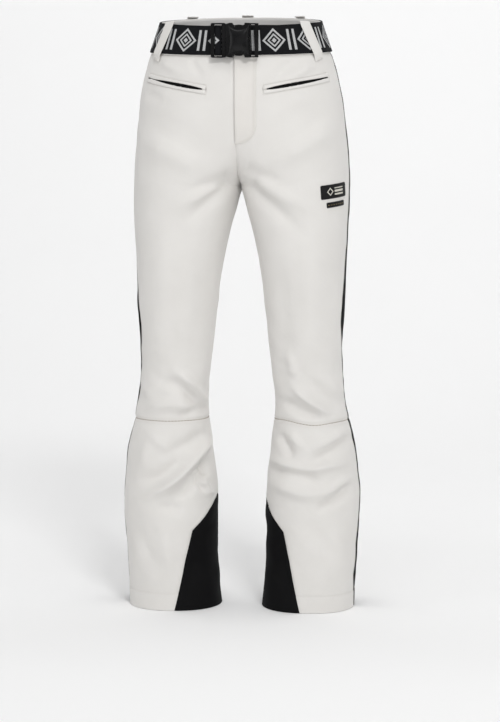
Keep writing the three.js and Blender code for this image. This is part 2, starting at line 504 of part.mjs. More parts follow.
// ---------------------------------------------------------------- badges on the left thigh
// A plate on the cloth between two places on the front and outside of the thigh, given by their distance from the middle plane.
function badge(x0, x1, h, high, tilt, depth, off = 0.7) {
  const ends = (hh) => [x0, x1].map((x) => lengthAtX(section(hh), x));
  const [l0, l1] = ends(h), w = l1 - l0;
  const c = Math.cos(tilt), s = Math.sin(tilt);
  return slab(4, 1, 2, (u, q, v) => {
    const a = (u - 0.5) * w, b = (v - 0.5) * high, hh = h + b * c + a * s;
    const [m0, m1] = ends(hh), mid = (m0 + m1) / 2;
    return cloth(hh, (mid + a * c - b * s) / section(hh).length, mix(off, off + depth, q));
  });
}
add('badge_large', badge(140, 176.5, 707.5, 23.5, 0.097, 1.4), 'rubber');
add('badge_small', badge(149.5, 175, 685.8, 9, 0.097, 1.2), 'rubber');

const hemAt = (u) => cloth(0, u, -CLOTH / 2).toArray();
root.userData = { hem: [hemAt((frontSeam(0) + backSeam(0)) / 2)], pocketArc: { start: ARC.start.toArray(), centre: ARC.centre.toArray(), axis: ARC.axis.toArray(), radius: ARC.radius, sweep: ARC.sweep } };

export default root;
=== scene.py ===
# Ski trousers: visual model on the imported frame. Lengths inside this script are millimetres above the hem until a mesh is made.
import bpy, bmesh, math
import numpy as np
from mathutils import Matrix, Vector


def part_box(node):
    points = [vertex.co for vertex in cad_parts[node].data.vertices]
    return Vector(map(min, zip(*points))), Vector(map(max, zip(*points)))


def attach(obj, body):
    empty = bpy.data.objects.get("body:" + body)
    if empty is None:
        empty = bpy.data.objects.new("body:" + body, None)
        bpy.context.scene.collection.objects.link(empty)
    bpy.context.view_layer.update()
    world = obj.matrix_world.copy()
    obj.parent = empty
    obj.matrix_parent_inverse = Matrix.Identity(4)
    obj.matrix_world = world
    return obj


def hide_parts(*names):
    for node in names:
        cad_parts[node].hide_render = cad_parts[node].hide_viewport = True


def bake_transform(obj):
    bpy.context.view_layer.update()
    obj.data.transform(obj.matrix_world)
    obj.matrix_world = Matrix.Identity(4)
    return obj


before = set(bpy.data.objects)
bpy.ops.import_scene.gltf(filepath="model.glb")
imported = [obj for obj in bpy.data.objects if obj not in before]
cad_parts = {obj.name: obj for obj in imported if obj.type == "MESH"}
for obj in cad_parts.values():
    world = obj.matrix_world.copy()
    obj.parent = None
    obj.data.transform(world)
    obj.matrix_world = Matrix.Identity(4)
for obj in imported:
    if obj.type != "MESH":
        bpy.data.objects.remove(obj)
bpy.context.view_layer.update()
scene = bpy.context.scene
LEVEL = 985.0  # hem to waist plane
CROTCH = 716.0
KNEE_SEAM = 321.0
SPLIT = 505.0  # row where the upper thigh panels meet the panels that run down to the knee seam
rng = np.random.default_rng(7)

# ---------------------------------------------------------------- camera
YAW = math.radians(6.0)
PITCH = math.atan2(0.383, 4.0)
FOCAL = 2363.7
cam_data = bpy.data.cameras.new("camera")
cam_data.sensor_fit = "VERTICAL"
cam_data.sensor_height = 36.0
cam_data.sensor_width = 36.0 * 500 / 722
cam_data.lens = 36.0 * FOCAL / 722
cam = bpy.data.objects.new("camera", cam_data)
scene.collection.objects.link(cam)
RIGHT = np.array([math.cos(YAW), math.sin(YAW), 0.0])
AHEAD = np.array([-math.sin(YAW) * math.cos(PITCH), math.cos(YAW) * math.cos(PITCH), -math.sin(PITCH)])
UP = np.cross(RIGHT, AHEAD)
CAM = np.array([math.sin(YAW) * 4.0, -math.cos(YAW) * 4.0, 0.800 - LEVEL / 1000]) + RIGHT * (250 - 241.8) * 0.0017
cam.matrix_world = Matrix([[RIGHT[i], UP[i], -AHEAD[i], CAM[i]] for i in range(3)] + [[0, 0, 0, 1]])
cam_data.clip_end = 50
scene.camera = cam


def pixels(p):
    """Picture coordinates of points given in mm above the hem; used only to place folds on the front."""
    q = np.asarray(p, float) / 1000
    q = q - np.array([0, 0, LEVEL / 1000]) - CAM
    d = q @ AHEAD
    return 250 + FOCAL * (q @ RIGHT) / d, 361 - FOCAL * (q @ UP) / d


# ---------------------------------------------------------------- body form, the same numbers as the CAD
WIDTHS = [
    [0, 35.3, 192.4], [57, 40.3, 194.6], [92, 42.4, 197.3], [126, 42.5, 199.4], [161, 41.7, 201.1], [195, 42, 201.6],
    [230, 45, 199.1], [264, 49.5, 196], [290, 51.8, 190.8], [316, 55.0, 183.6], [335, 57.1, 180.4], [352, 57.6, 177.2],
    [368, 56.6, 174.9], [402, 52.9, 171.9], [436, 49, 171.8], [487, 43.9, 174], [521, 39.9, 176.2], [555, 36.2, 176.5],
    [589, 30.9, 177.4], [622, 24.1, 179.3], [656, 15.5, 181], [690, 6.6, 182.1], [716, 0, 182.2], [757, 0, 180.6],
    [791, 0, 177.7], [825, 0, 174.1], [858, 0, 170.3], [891, 0, 163.9], [925, 0, 154.5], [958, 0, 142.5], [988, 0, 132.6], [1010, 0, 129]]
DEPTHS = [
    [0, -80, 86], [57, -79, 86], [126, -78, 86], [195, -76, 84], [250, -72, 78], [300, -67, 71], [316, -65.5, 67],
    [350, -66, 61], [376, -69, 58], [420, -73, 60], [470, -78, 66], [521, -84, 73], [589, -91, 85], [656, -97, 98],
    [716, -102, 112], [757, -105, 124], [791, -108, 130], [825, -111, 130], [858, -112, 125], [891, -112, 117],
    [925, -109, 108], [958, -104, 101], [988, -100, 96], [1010, -98, 94]]
SIDE_SEAM = [
    [0, -4], [30, -8], [60, -13], [110, -12], [150, -8], [200, -5], [250, -6], [316, -8], [335, -4], [370, -9], [400, -8],
    [440, -13], [485, -19], [520, -16], [560, -9], [640, -5], [720, -4], [850, -2], [1010, -2]]
SIDE_WIDTH = [[0, 76], [200, 72], [316, 60], [400, 60], [560, 66], [720, 70], [850, 62], [935, 50], [1010, 46]]
GUARD = [[0, 95], [135, 123.5], [182, 164], [190, 180]]


def spline(table, col):
    xs = np.array([r[0] for r in table], float)
    ys = np.array([r[col] for r in table], float)
    d = np.diff(ys) / np.diff(xs)
    m = np.zeros(len(xs))
    m[0], m[-1] = d[0], d[-1]
    for i in range(1, len(xs) - 1):
        m[i] = 0 if d[i - 1] * d[i] <= 0 else 2 * d[i - 1] * d[i] / (d[i - 1] + d[i])

    def f(x):
        x = np.clip(np.asarray(x, float), xs[0], xs[-1])
        i = np.clip(np.searchsorted(xs, x, side="left") - 1, 0, len(xs) - 2)
        h = xs[i + 1] - xs[i]
        t = (x - xs[i]) / h
        t2, t3 = t * t, t * t * t
        return (2 * t3 - 3 * t2 + 1) * ys[i] + (t3 - 2 * t2 + t) * h * m[i] + (-2 * t3 + 3 * t2) * ys[i + 1] + (t3 - t2) * h * m[i + 1]

    return f


inner, outer, front, back = spline(WIDTHS, 1), spline(WIDTHS, 2), spline(DEPTHS, 1), spline(DEPTHS, 2)
seam_angle, side_width = spline(SIDE_SEAM, 1), spline(SIDE_WIDTH, 1)


def smooth(a, b, x):
    t = np.clip((np.asarray(x, float) - a) / (b - a), 0, 1)
    return t * t * (3 - 2 * t)


def mix(a, b, t):
    return a + (b - a) * t


# Table of sections: for every millimetre of height, points at equal shares of the section's length.
H0, NU = -6, 600
HS = np.arange(H0, 1018)
TABLE = np.zeros((len(HS), NU + 1, 2))
LENGTH = np.zeros(len(HS))
ANGLES, SHARES = [], []
for k, h in enumerate(HS):
    hh = float(np.clip(h, 0, 1010))
    n = mix(2.12, 2.28, float(smooth(300, 650, hh))) - 0.12 * float(smooth(820, 960, hh))
    xo, yf, yb = float(outer(hh)), float(front(hh)), float(back(hh))
    cy = (yf + yb) / 2 + mix(0, -8, float(smooth(716, 900, hh)))
    if hh <= CROTCH:
        cx = (float(inner(hh)) + xo) / 2
        ai = cx - float(inner(hh))
        start = math.pi
    else:
        rise = hh - CROTCH
        cx = mix(xo / 2, 0.001, float(smooth(0, 215, rise)) * 0.6 + float(smooth(40, 215, rise)) * 0.4)
        rho = math.exp(-((rise / 85) ** 1.25))
        ai = cx / rho
        start = math.acos(max(-1, -(rho ** (n / 2))))
    a = np.linspace(-start, start, 481)
    c, s = np.cos(a), np.sin(a)
    w = np.where(c > 0, xo - cx, ai)
    b = np.where(s < 0, cy - yf, yb - cy)
    x = cx + np.sign(c) * np.abs(c) ** (2 / n) * w
    y = cy + np.sign(s) * np.abs(s) ** (2 / n) * b
    if hh > CROTCH:
        x[0] = x[-1] = 0
    run = np.concatenate([[0], np.cumsum(np.hypot(np.diff(x), np.diff(y)))])
    u = np.linspace(0, run[-1], NU + 1)
    TABLE[k, :, 0] = np.interp(u, run, x)
    TABLE[k, :, 1] = np.interp(u, run, y)
    LENGTH[k] = run[-1]
    ANGLES.append(a)
    SHARES.append(run / run[-1])


def length_at(h):
    return np.interp(h, HS, LENGTH)


def share_at_angle(h, deg):
    h = np.atleast_1d(np.asarray(h, float))
    deg = np.broadcast_to(np.asarray(deg, float), h.shape)
    out = np.zeros(h.shape)
    for i, (hh, dd) in enumerate(zip(h, deg)):
        k = (hh - H0)
        k0 = int(np.clip(math.floor(k), 0, len(HS) - 2))
        t = k - k0
        v0 = np.interp(math.radians(dd), ANGLES[k0], SHARES[k0])
        v1 = np.interp(math.radians(dd), ANGLES[k0 + 1], SHARES[k0 + 1])
        out[i] = mix(v0, v1, t)
    return out


def share_at_x(h, x):
    h = np.atleast_1d(np.asarray(h, float))
    x = np.broadcast_to(np.asarray(x, float), h.shape)
    out = np.zeros(h.shape)
    for i, (hh, xx) in enumerate(zip(h, x)):
        k = int(np.clip(round(hh - H0), 0, len(HS) - 1))
        row = TABLE[k, :, 0]
        j = int(np.argmax(row >= xx)) if (row >= xx).any() else NU // 2
        if j == 0:
            out[i] = 0
        else:
            out[i] = (j - 1 + (xx - row[j - 1]) / max(1e-9, row[j] - row[j - 1])) / NU
    return out


def dip(u):
    return mix(-8, 15, smooth(0.05, 0.95, u))


def height_of(h, u):
    h, u = np.broadcast_arrays(np.asarray(h, float), np.asarray(u, float))
    r = np.maximum(0, h - CROTCH)
    e = np.where(r < 140, r * r * (2 - r / 140) / 140, r)
    q = np.maximum(1 - smooth(0, 0.35, u), 1 - smooth(0, 0.35, 1 - u))
    z = np.where(h > CROTCH, mix(h, CROTCH + e, q), h)
    return z + dip(u) * smooth(880, 960, h)


def raw(h, u):
    h, u = np.broadcast_arrays(np.asarray(h, float), np.asarray(u, float))
    z = height_of(h, u)
    k = np.clip(z - H0, 0, len(HS) - 1.001)
    k0 = np.floor(k).astype(int)
    tk = (k - k0)[..., None]
    j = np.clip(u, 0, 1) * NU
    j0 = np.clip(np.floor(j).astype(int), 0, NU - 1)
    tj = (j - j0)[..., None]
    p = (TABLE[k0, j0] * (1 - tj) + TABLE[k0, j0 + 1] * tj) * (1 - tk) + (TABLE[k0 + 1, j0] * (1 - tj) + TABLE[k0 + 1, j0 + 1] * tj) * tk
    return np.concatenate([p, z[..., None]], axis=-1)


def normal(h, u):
    e = 0.012
    u0, u1 = np.clip(u - e, 0, 1), np.clip(u + e, 0, 1)
    du = raw(h, u1) - raw(h, u0)
    dv = raw(h + 4, u) - raw(h - 4, u)
    n = np.cross(du, dv)
    h_, u_ = np.broadcast_arrays(np.asarray(h, float), np.asarray(u, float))
    mid = (h_ > CROTCH + 12) & ((u_ < 1e-6) | (u_ > 1 - 1e-6))
    n[mid, 0] = 0
    return n / np.linalg.norm(n, axis=-1, keepdims=True)


def front_seam(h):
    return share_at_angle(h, seam_angle(h))


def back_seam(h):
    return front_seam(h) + side_width(h) / length_at(h)


# how far the front edge of the black strip lies ahead of the plain seam line, in mm, by height
SEAM_AHEAD = {
    1: ([0, 340, 376, 400, 440, 475, 520, 700, 760], [0, 0, -4.0, -8.5, -8.5, -3, 1.5, 1.5, 0]),
    -1: ([0, 60, 150, 230, 300, 376, 440, 590, 660, 740], [0, 2, 5, 9, 10.5, 10.5, 12.5, 12.5, 7, 0]),
}


def strip_front(side):
    def at(h):
        h = np.asarray(h, float)
        return front_seam(h) - np.interp(h, *SEAM_AHEAD[side]) / length_at(h)
    return at


def guard_angle(h):
    return np.interp(h, [g[0] for g in GUARD], [g[1] for g in GUARD])


def guard_front(h):
    return np.where(np.asarray(h) < 190, share_at_angle(h, -guard_angle(h)), 0)


def guard_back(h):
    return np.where(np.asarray(h) < 190, share_at_angle(h, guard_angle(h)), 1)


# ---------------------------------------------------------------- folds
def segment_distance(px, py, pts):
    """Signed distance to a polyline and the share of its length at the nearest point."""
    best = np.full(px.shape, 1e9)
    sgn = np.zeros(px.shape)
    along = np.zeros(px.shape)
    pts = np.asarray(pts, float)
    seg = np.hypot(*np.diff(pts, axis=0).T)
    cum = np.concatenate([[0], np.cumsum(seg)])
    for i in range(len(pts) - 1):
        a, b = pts[i], pts[i + 1]
        d = b - a
        L = max(1e-9, d @ d)
        t = np.clip(((px - a[0]) * d[0] + (py - a[1]) * d[1]) / L, 0, 1)
        qx, qy = px - (a[0] + t * d[0]), py - (a[1] + t * d[1])
        dist = np.hypot(qx, qy)
        side = np.sign(d[0] * qy - d[1] * qx)
        m = dist < best
        best = np.where(m, dist, best)
        sgn = np.where(m, side, sgn)
        along = np.where(m, (cum[i] + t * seg[i]) / cum[-1], along)
    return best, sgn, along


def curve_through(pts, n=14):
    """A smooth curve through the given points (Catmull-Rom)."""
    p = np.asarray(pts, float)
    if len(p) < 3:
        return p
    q = np.vstack([2 * p[0] - p[1], p, 2 * p[-1] - p[-2]])
    out = []
    for i in range(1, len(q) - 2):
        for t in np.linspace(0, 1, n, endpoint=False):
            t2, t3 = t * t, t ** 3
            out.append(0.5 * ((2 * q[i]) + (q[i + 1] - q[i - 1]) * t + (2 * q[i - 1] - 5 * q[i] + 4 * q[i + 1] - q[i + 2]) * t2 + (3 * q[i] - q[i - 1] - 3 * q[i + 1] + q[i + 2]) * t3))
    out.append(p[-1])
    return np.array(out)


# (points in the picture plane, half-width, height in mm, taper at start, taper at end)
FRONT_FOLDS = [
    # drag lines from the crotch
    ([(236, 172), (222, 181), (203, 187), (178, 195)], 6.5, -2.6, 0.15, 0.5),
    ([(235, 181), (215, 196), (196, 212), (180, 226)], 6.5, -2.8, 0.1, 0.5),
    ([(231, 180), (207, 192), (184, 203), (165, 217)], 6.0, 1.6, 0.2, 0.5),
    ([(243, 168), (262, 176), (290, 186)], 6.5, -1.8, 0.1, 0.5),
    ([(246, 181), (263, 198), (284, 216), (304, 236)], 6.5, -2.8, 0.1, 0.5),
    ([(250, 177), (276, 193), (302, 206), (322, 214)], 6.5, 1.6, 0.2, 0.5),
    # hip and seat tension
    ([(330, 104), (300, 122), (272, 140), (252, 158)], 12, -3.0, 0.3, 0.4),
    ([(338, 122), (310, 142), (282, 158), (262, 166)], 11, 2.7, 0.3, 0.4),
    ([(142, 118), (165, 128), (190, 140), (215, 158)], 12, -2.4, 0.3, 0.4),
    ([(140, 136), (162, 150), (186, 162), (212, 168)], 11, 2.2, 0.3, 0.4),
    ([(316, 62), (298, 74), (280, 82)], 5, 2.0, 0.3, 0.5),
    ([(290, 60), (281, 72), (270, 80)], 4, -1.5, 0.2, 0.5),
    ([(160, 60), (172, 68), (186, 74)], 5, 1.7, 0.3, 0.5),
    ([(190, 58), (197, 70), (206, 79)], 4, -1.4, 0.2, 0.5),
    ([(146, 92), (152, 96), (165, 101)], 5, -1.5, 0.3, 0.5),
    # thighs
    ([(165, 215), (163, 270), (162, 330), (165, 372)], 11, 1.2, 0.3, 0.3),
    ([(310, 225), (309, 270), (309, 330), (306, 372)], 11, 1.2, 0.3, 0.3),
    ([(205, 250), (202, 300), (200, 345)], 10, -0.9, 0.3, 0.3),
    ([(281, 262), (284, 310), (284, 345), (281, 372)], 8, -1.1, 0.3, 0.3),
    ([(330, 250), (332, 300), (331, 345)], 10, -0.8, 0.3, 0.3),
    # left knee in the picture
    ([(174, 369), (188, 382), (200, 395), (212, 404)], 4.5, 3.4, 0.35, 0.25),
    ([(158, 381), (176, 385), (190, 395), (203, 407)], 6.5, -3.0, 0.4, 0.3),
    ([(142, 412), (160, 406), (180, 406), (198, 411)], 6.0, 2.8, 0.3, 0.3),
    ([(176, 417), (190, 412), (208, 406)], 4.0, -1.9, 0.3, 0.2),
    ([(142, 396), (152, 388), (160, 376)], 6.0, 1.5, 0.3, 0.4),
    # right knee in the picture
    ([(290, 384), (303, 396), (318, 408), (333, 416)], 4.5, 3.6, 0.35, 0.25),
    ([(279, 399), (294, 407), (308, 413), (324, 417)], 5.5, -3.4, 0.3, 0.3),
    ([(301, 374), (318, 389), (334, 402), (346, 413)], 7.0, -2.3, 0.4, 0.3),
    ([(286, 350), (292, 366), (294, 380)], 5.0, 1.8, 0.4, 0.3),
    ([(326, 372), (334, 386), (343, 398)], 6.0, 1.4, 0.4, 0.4),
    # left lower leg in the picture
    ([(211, 436), (201, 450), (189, 466), (168, 486), (139, 499)], 5.0, 5.4, 0.15, 0.4),
    ([(207, 431), (190, 443), (172, 451), (156, 460)], 7.0, -3.2, 0.2, 0.4),
    ([(190, 452), (172, 468), (154, 478), (133, 480)], 7.5, -3.8, 0.3, 0.35),
    ([(212, 456), (198, 472), (184, 490), (162, 505)], 6.0, -4.0, 0.2, 0.4),
    ([(200, 478), (206, 487), (212, 497)], 3.5, 3.0, 0.3, 0.3),
    ([(202, 463), (206, 470), (205, 477)], 3.0, -3.4, 0.3, 0.3),
    ([(150, 437), (144, 455), (139, 472)], 6.0, 1.6, 0.3, 0.4),
    ([(133, 515), (142, 540), (156, 570)], 7.0, -1.9, 0.4, 0.4),
    ([(158, 515), (166, 545), (170, 580)], 8.0, 1.7, 0.4, 0.4),
    ([(206, 470), (199, 478), (201, 486), (208, 490)], 2.6, -2.6, 0.3, 0.3),
    ([(146, 432), (164, 446), (180, 452)], 6.0, 2.0, 0.4, 0.4),
    ([(186, 512), (170, 508), (156, 512)], 6.0, -2.4, 0.4, 0.4),
    # right lower leg in the picture
    ([(268, 459), (287, 467), (309, 470), (330, 466), (352, 462)], 4.5, 3.0, 0.25, 0.3),
    ([(267, 470), (282, 471), (298, 474), (327, 484)], 6.0, -3.4, 0.2, 0.35),
    ([(269, 483), (288, 490), (309, 495), (333, 489)], 5.5, 2.4, 0.3, 0.4),
    ([(306, 468), (322, 456), (338, 446), (355, 434)], 5.5, -2.6, 0.35, 0.2),
    ([(309, 452), (328, 442), (348, 430)], 4.5, 2.8, 0.4, 0.3),
    ([(312, 514), (326, 505), (340, 495), (354, 483)], 6.0, -3.6, 0.4, 0.2),
    ([(320, 500), (338, 486), (355, 474)], 4.5, 2.6, 0.4, 0.3),
    ([(278, 431), (285, 444), (293, 460)], 4.0, -3.0, 0.3, 0.3),
    ([(288, 430), (296, 441), (304, 452)], 4.5, 2.6, 0.4, 0.4),
    ([(300, 520), (322, 540), (336, 575)], 9.0, -1.7, 0.4, 0.4),
    ([(330, 525), (342, 550), (346, 585)], 8.0, 1.5, 0.4, 0.4),
]
# Folds on the back and sides, as (x, height) in mm on the back; mirrored to both legs with small changes.
BACK_FOLDS = [
    ([(8, 722), (50, 706), (100, 690), (150, 682)], 12, -3.2, 0.1, 0.5),
    ([(12, 705), (55, 680), (100, 655), (140, 640)], 12, -2.8, 0.1, 0.5),
    ([(10, 735), (60, 726), (115, 716), (165, 718)], 11, 2.4, 0.2, 0.5),
    ([(14, 690), (50, 662), (90, 632)], 11, 2.0, 0.2, 0.5),
    ([(30, 860), (80, 830), (140, 815)], 22, 2.0, 0.4, 0.4),
    ([(20, 800), (70, 775), (130, 770)], 20, -1.6, 0.4, 0.4),
    ([(52, 408), (85, 398), (120, 400), (168, 412)], 9, -3.6, 0.2, 0.2),
    ([(56, 390), (90, 380), (130, 380), (170, 392)], 8, 3.0, 0.2, 0.2),
    ([(57, 374), (95, 362), (135, 362), (172, 376)], 9, -3.6, 0.2, 0.2),
    ([(60, 352), (100, 345), (140, 346), (172, 354)], 8, 2.6, 0.2, 0.2),
    ([(56, 428), (95, 424), (135, 430), (166, 440)], 8, 2.2, 0.3, 0.3),
    ([(62, 336), (100, 330), (145, 333)], 6, -1.8, 0.3, 0.3),
    ([(50, 285), (85, 262), (125, 250), (175, 262)], 10, -2.8, 0.2, 0.4),
    ([(48, 262), (90, 238), (135, 228), (185, 240)], 9, 2.8, 0.2, 0.4),
    ([(50, 236), (95, 214), (140, 206), (190, 214)], 10, -2.4, 0.3, 0.4),
    ([(60, 300), (110, 292), (160, 300)], 9, 1.8, 0.3, 0.3),
    ([(110, 540), (108, 480)], 22, 1.4, 0.4, 0.4),
    ([(70, 600), (76, 500)], 18, -1.2, 0.4, 0.4),
    ([(150, 150), (140, 60)], 16, -1.2, 0.4, 0.4),
    ([(110, 150), (112, 60)], 16, 1.2, 0.4, 0.4),
]


def ready(folds):
    """Each fold as its smooth curve, with the box it reaches."""
    out = []
    for pts, width, amp, t0, t1 in folds:
        c = curve_through(pts)
        out.append((c, c.min(0) - 3 * width, c.max(0) + 3 * width, width, amp, t0, t1))
    return out


FRONT_CURVES, BACK_CURVES = ready(FRONT_FOLDS), ready(BACK_FOLDS)
NOISE_GRIDS = {k: np.random.default_rng(k).random((24, 24, 24)) * 2 - 1 for k in (11, 12)}


def stroke_sum(px, py, folds):
    out = np.zeros(px.shape)
    for c, lo, hi, width, amp, t0, t1 in folds:
        m = (px > lo[0]) & (px < hi[0]) & (py > lo[1]) & (py < hi[1])
        if not m.any():
            continue
        dist, sgn, along = segment_distance(px[m], py[m], c)
        taper = smooth(0, t0, along) * (1 - smooth(1 - t1, 1, along))
        # beyond the ends the distance grows, so the ends stay round
        out[m] += amp * np.exp(-((dist / width) ** 2)) * (0.12 + 0.88 * taper)
    return out


def hash_noise(p, seed):
    """Smooth value noise on points (N, 3)."""
    g = NOISE_GRIDS[seed]
    q = p % 24
    i = np.floor(q).astype(int)
    f = q - i
    f = f * f * (3 - 2 * f)
    i0, i1 = i % 24, (i + 1) % 24
    def G(a, b, c):
        return g[(i0, i1)[a][:, 0], (i0, i1)[b][:, 1], (i0, i1)[c][:, 2]]
    x0 = mix(mix(G(0, 0, 0), G(1, 0, 0), f[:, 0]), mix(G(0, 1, 0), G(1, 1, 0), f[:, 0]), f[:, 1])
    x1 = mix(mix(G(0, 0, 1), G(1, 0, 1), f[:, 0]), mix(G(0, 1, 1), G(1, 1, 1), f[:, 0]), f[:, 1])
    return mix(x0, x1, f[:, 2])


FOLD_GAIN = 2.45


def folds_at(p, n, side):
    """Fold height in mm at points p (mm) with outward normals n; side is +1 for the wearer's left."""
    flat = p.reshape(-1, 3)
    nn = n.reshape(-1, 3)
    px, py = pixels(flat)
    view = flat / 1000 - np.array([0, 0, LEVEL / 1000]) - CAM
    view /= np.linalg.norm(view, axis=1, keepdims=True)
    facing = -(nn * view).sum(1)
    wf = smooth(0.02, 0.4, facing)
    out = stroke_sum(px, py, FRONT_CURVES) * wf * FOLD_GAIN
    wb = smooth(0.05, 0.45, nn[:, 1])
    k = 1.0 if side > 0 else 0.9
    bx = flat[:, 0] * side
    bz = flat[:, 2] + (4 if side < 0 else 0)
    out += stroke_sum(bx, bz, BACK_CURVES) * wb * k * 1.5
    z = flat[:, 2]
    soft = 0.35 + 0.65 * np.exp(-(((z - 376) / 90) ** 2)) + 0.4 * smooth(300, 120, z) * smooth(20, 80, z)
    out += hash_noise(flat / np.array([34.0, 34.0, 26.0]) + 5 * (side + 2), 11) * 1.8 * soft
    out += hash_noise(flat / np.array([15.0, 15.0, 11.0]) + 9 * (side + 2), 12) * 0.5 * soft
    # over the pocket bags the hollows stay shallow
    deep = -3.9 * np.tanh(-out / 3.9)
    w = smooth(735, 765, z) * (out < 0)
    out = mix(out, deep, w)
    return out.reshape(p.shape[:-1])


def seam_drop(d, width=2.6, depth=1.1):
    """A rounded valley where a panel ends, d mm from its edge."""
    return -depth * np.exp(-((np.maximum(d, 0) / width) ** 2))


def knee_wobble(side, p):
    """The knee seam's height above or below its level, in mm."""
    x = np.abs(p[..., 0])
    f = smooth(20, -40, p[..., 1])
    if side > 0:
        return (-5.0 * np.exp(-(((x - 128) / 30) ** 2)) + 2.0 * np.exp(-(((x - 75) / 18) ** 2))) * f
    return (-1.0 * np.exp(-(((x - 120) / 40) ** 2))) * f


# ---------------------------------------------------------------- materials
def node_material(name):
    m = bpy.data.materials.new(name)
    m.use_nodes = True
    nt = m.node_tree
    nt.nodes.clear()
    out = nt.nodes.new("ShaderNodeOutputMaterial")
    sh = nt.nodes.new("ShaderNodeBsdfPrincipled")
    nt.links.new(sh.outputs[0], out.inputs[0])
    return m, nt, sh


def N_(nt, kind, **kw):
    n = nt.nodes.new(kind)
    for k, v in kw.items():
        setattr(n, k, v)
    return n


def math_node(nt, op, a, b=None, c=None, clamp=False):
    n = nt.nodes.new("ShaderNodeMath")
    n.operation = op
    n.use_clamp = clamp
    for i, v in enumerate((a, b, c)):
        if v is None:
            continue
        if isinstance(v, (int, float)):
            n.inputs[i].default_value = v
        else:
            nt.links.new(v, n.inputs[i])
    return n.outputs[0]


def ramp(nt, fac, stops):
    n = nt.nodes.new("ShaderNodeValToRGB")
    nt.links.new(fac, n.inputs[0])
    el = n.color_ramp.elements
    while len(el) < len(stops):
        el.new(0.5)
    for e, (p, col) in zip(el, stops):
        e.position = p
        e.color = (*col, 1)
    return n.outputs[0]


def uv_coord(nt, scale):
    tc = nt.nodes.new("ShaderNodeUVMap")
    tc.uv_map = "UVMap"
    mp = nt.nodes.new("ShaderNodeMapping")
    mp.inputs["Scale"].default_value = (scale, scale, scale)
    nt.links.new(tc.outputs[0], mp.inputs[0])
    return mp.outputs[0]


def bump(nt, sh, height, strength, distance, before=None):
    b = nt.nodes.new("ShaderNodeBump")
    b.inputs["Strength"].default_value = strength
    b.inputs["Distance"].default_value = distance
    nt.links.new(height, b.inputs["Height"])
    if before is not None:
        nt.links.new(before, b.inputs["Normal"])
    nt.links.new(b.outputs[0], sh.inputs["Normal"])
    return b.outputs[0]


def cloth_material(name, light, dark, rough, sheen, tint, weave_scale=1100, weave=0.25, fuzz=0.2, lum=0.5):
    """Bonded twill: fine diagonal ribs, a soft nap and slow changes of tone."""
    m, nt, sh = node_material(name)
    uv = uv_coord(nt, 1.0)
    wave = N_(nt, "ShaderNodeTexWave", wave_type="BANDS", bands_direction="DIAGONAL")
    wave.inputs["Scale"].default_value = weave_scale / 20
    wave.inputs["Distortion"].default_value = 1.2
    wave.inputs["Detail"].default_value = 2
    wave.inputs["Detail Scale"].default_value = 3
    nt.links.new(uv, wave.inputs[0])
    nap = N_(nt, "ShaderNodeTexNoise")
    nap.inputs["Scale"].default_value = 900
    nap.inputs["Detail"].default_value = 3
    nt.links.new(uv, nap.inputs[0])
    slow = N_(nt, "ShaderNodeTexNoise")
    slow.inputs["Scale"].default_value = 14
    slow.inputs["Detail"].default_value = 4
    nt.links.new(uv, slow.inputs[0])
    mixed = math_node(nt, "ADD", math_node(nt, "MULTIPLY", slow.outputs[0], 0.7), math_node(nt, "MULTIPLY", nap.outputs[0], 0.3))
    col = ramp(nt, mixed, [(0.32, dark), (0.68, light)])
    nt.links.new(col, sh.inputs["Base Color"])
    nt.links.new(math_node(nt, "MULTIPLY_ADD", nap.outputs[0], 0.12, rough - 0.06), sh.inputs["Roughness"])
    hgt = math_node(nt, "ADD", math_node(nt, "MULTIPLY", wave.outputs["Fac"], weave), math_node(nt, "MULTIPLY", nap.outputs[0], fuzz))
    bump(nt, sh, hgt, 0.35, 0.0002)
    sh.inputs["Sheen Weight"].default_value = sheen
    sh.inputs["Sheen Roughness"].default_value = 0.5
    sh.inputs["Sheen Tint"].default_value = (*tint, 1)
    sh.inputs["Specular IOR Level"].default_value = 0.25 if light[0] > 0.2 else 0.1
    return m


WHITE = cloth_material("softshell_white", (0.742, 0.726, 0.701), (0.703, 0.686, 0.66), 0.82, 0.25, (1, 1, 1))
FLYWHITE = cloth_material("softshell_white_fly", (0.745, 0.723, 0.689), (0.706, 0.682, 0.65), 0.82, 0.25, (1, 1, 1))
LIGHTWEB = cloth_material("webbing_light", (0.6, 0.6, 0.6), (0.5, 0.5, 0.5), 0.75, 0.15, (1, 1, 1), 2600, 0.8, 0.2)
BLACK = cloth_material("softshell_black", (0.0062, 0.0062, 0.0066), (0.0036, 0.0036, 0.004), 0.86, 0.015, (0.6, 0.6, 0.65))
LINING = cloth_material("lining", (0.62, 0.61, 0.6), (0.55, 0.54, 0.53), 0.9, 0.3, (1, 1, 1))
GAITER = cloth_material("gaiter_taffeta", (0.03, 0.03, 0.034), (0.018, 0.018, 0.02), 0.5, 0.05, (1, 1, 1), 2200, 0.4, 0.05)
TAPE = cloth_material("zip_tape", (0.02, 0.02, 0.021), (0.012, 0.012, 0.013), 0.7, 0.05, (1, 1, 1), 2600, 0.6, 0.1)
THREAD_WHITE = cloth_material("thread_white", (0.74, 0.72, 0.69), (0.66, 0.64, 0.61), 0.6, 0.2, (1, 1, 1), 4000, 0.5, 0.1)
THREAD_BROWN = cloth_material("thread_seam", (0.42, 0.355, 0.30), (0.33, 0.275, 0.23), 0.8, 0.1, (1, 1, 1), 4000, 0.5, 0.1)
THREAD_GREY = cloth_material("thread_grey", (0.42, 0.42, 0.41), (0.34, 0.34, 0.33), 0.6, 0.2, (1, 1, 1), 4000, 0.5, 0.1)
THREAD_BLACK = cloth_material("thread_black", (0.03, 0.03, 0.03), (0.02, 0.02, 0.02), 0.55, 0.1, (1, 1, 1), 4000, 0.5, 0.1)


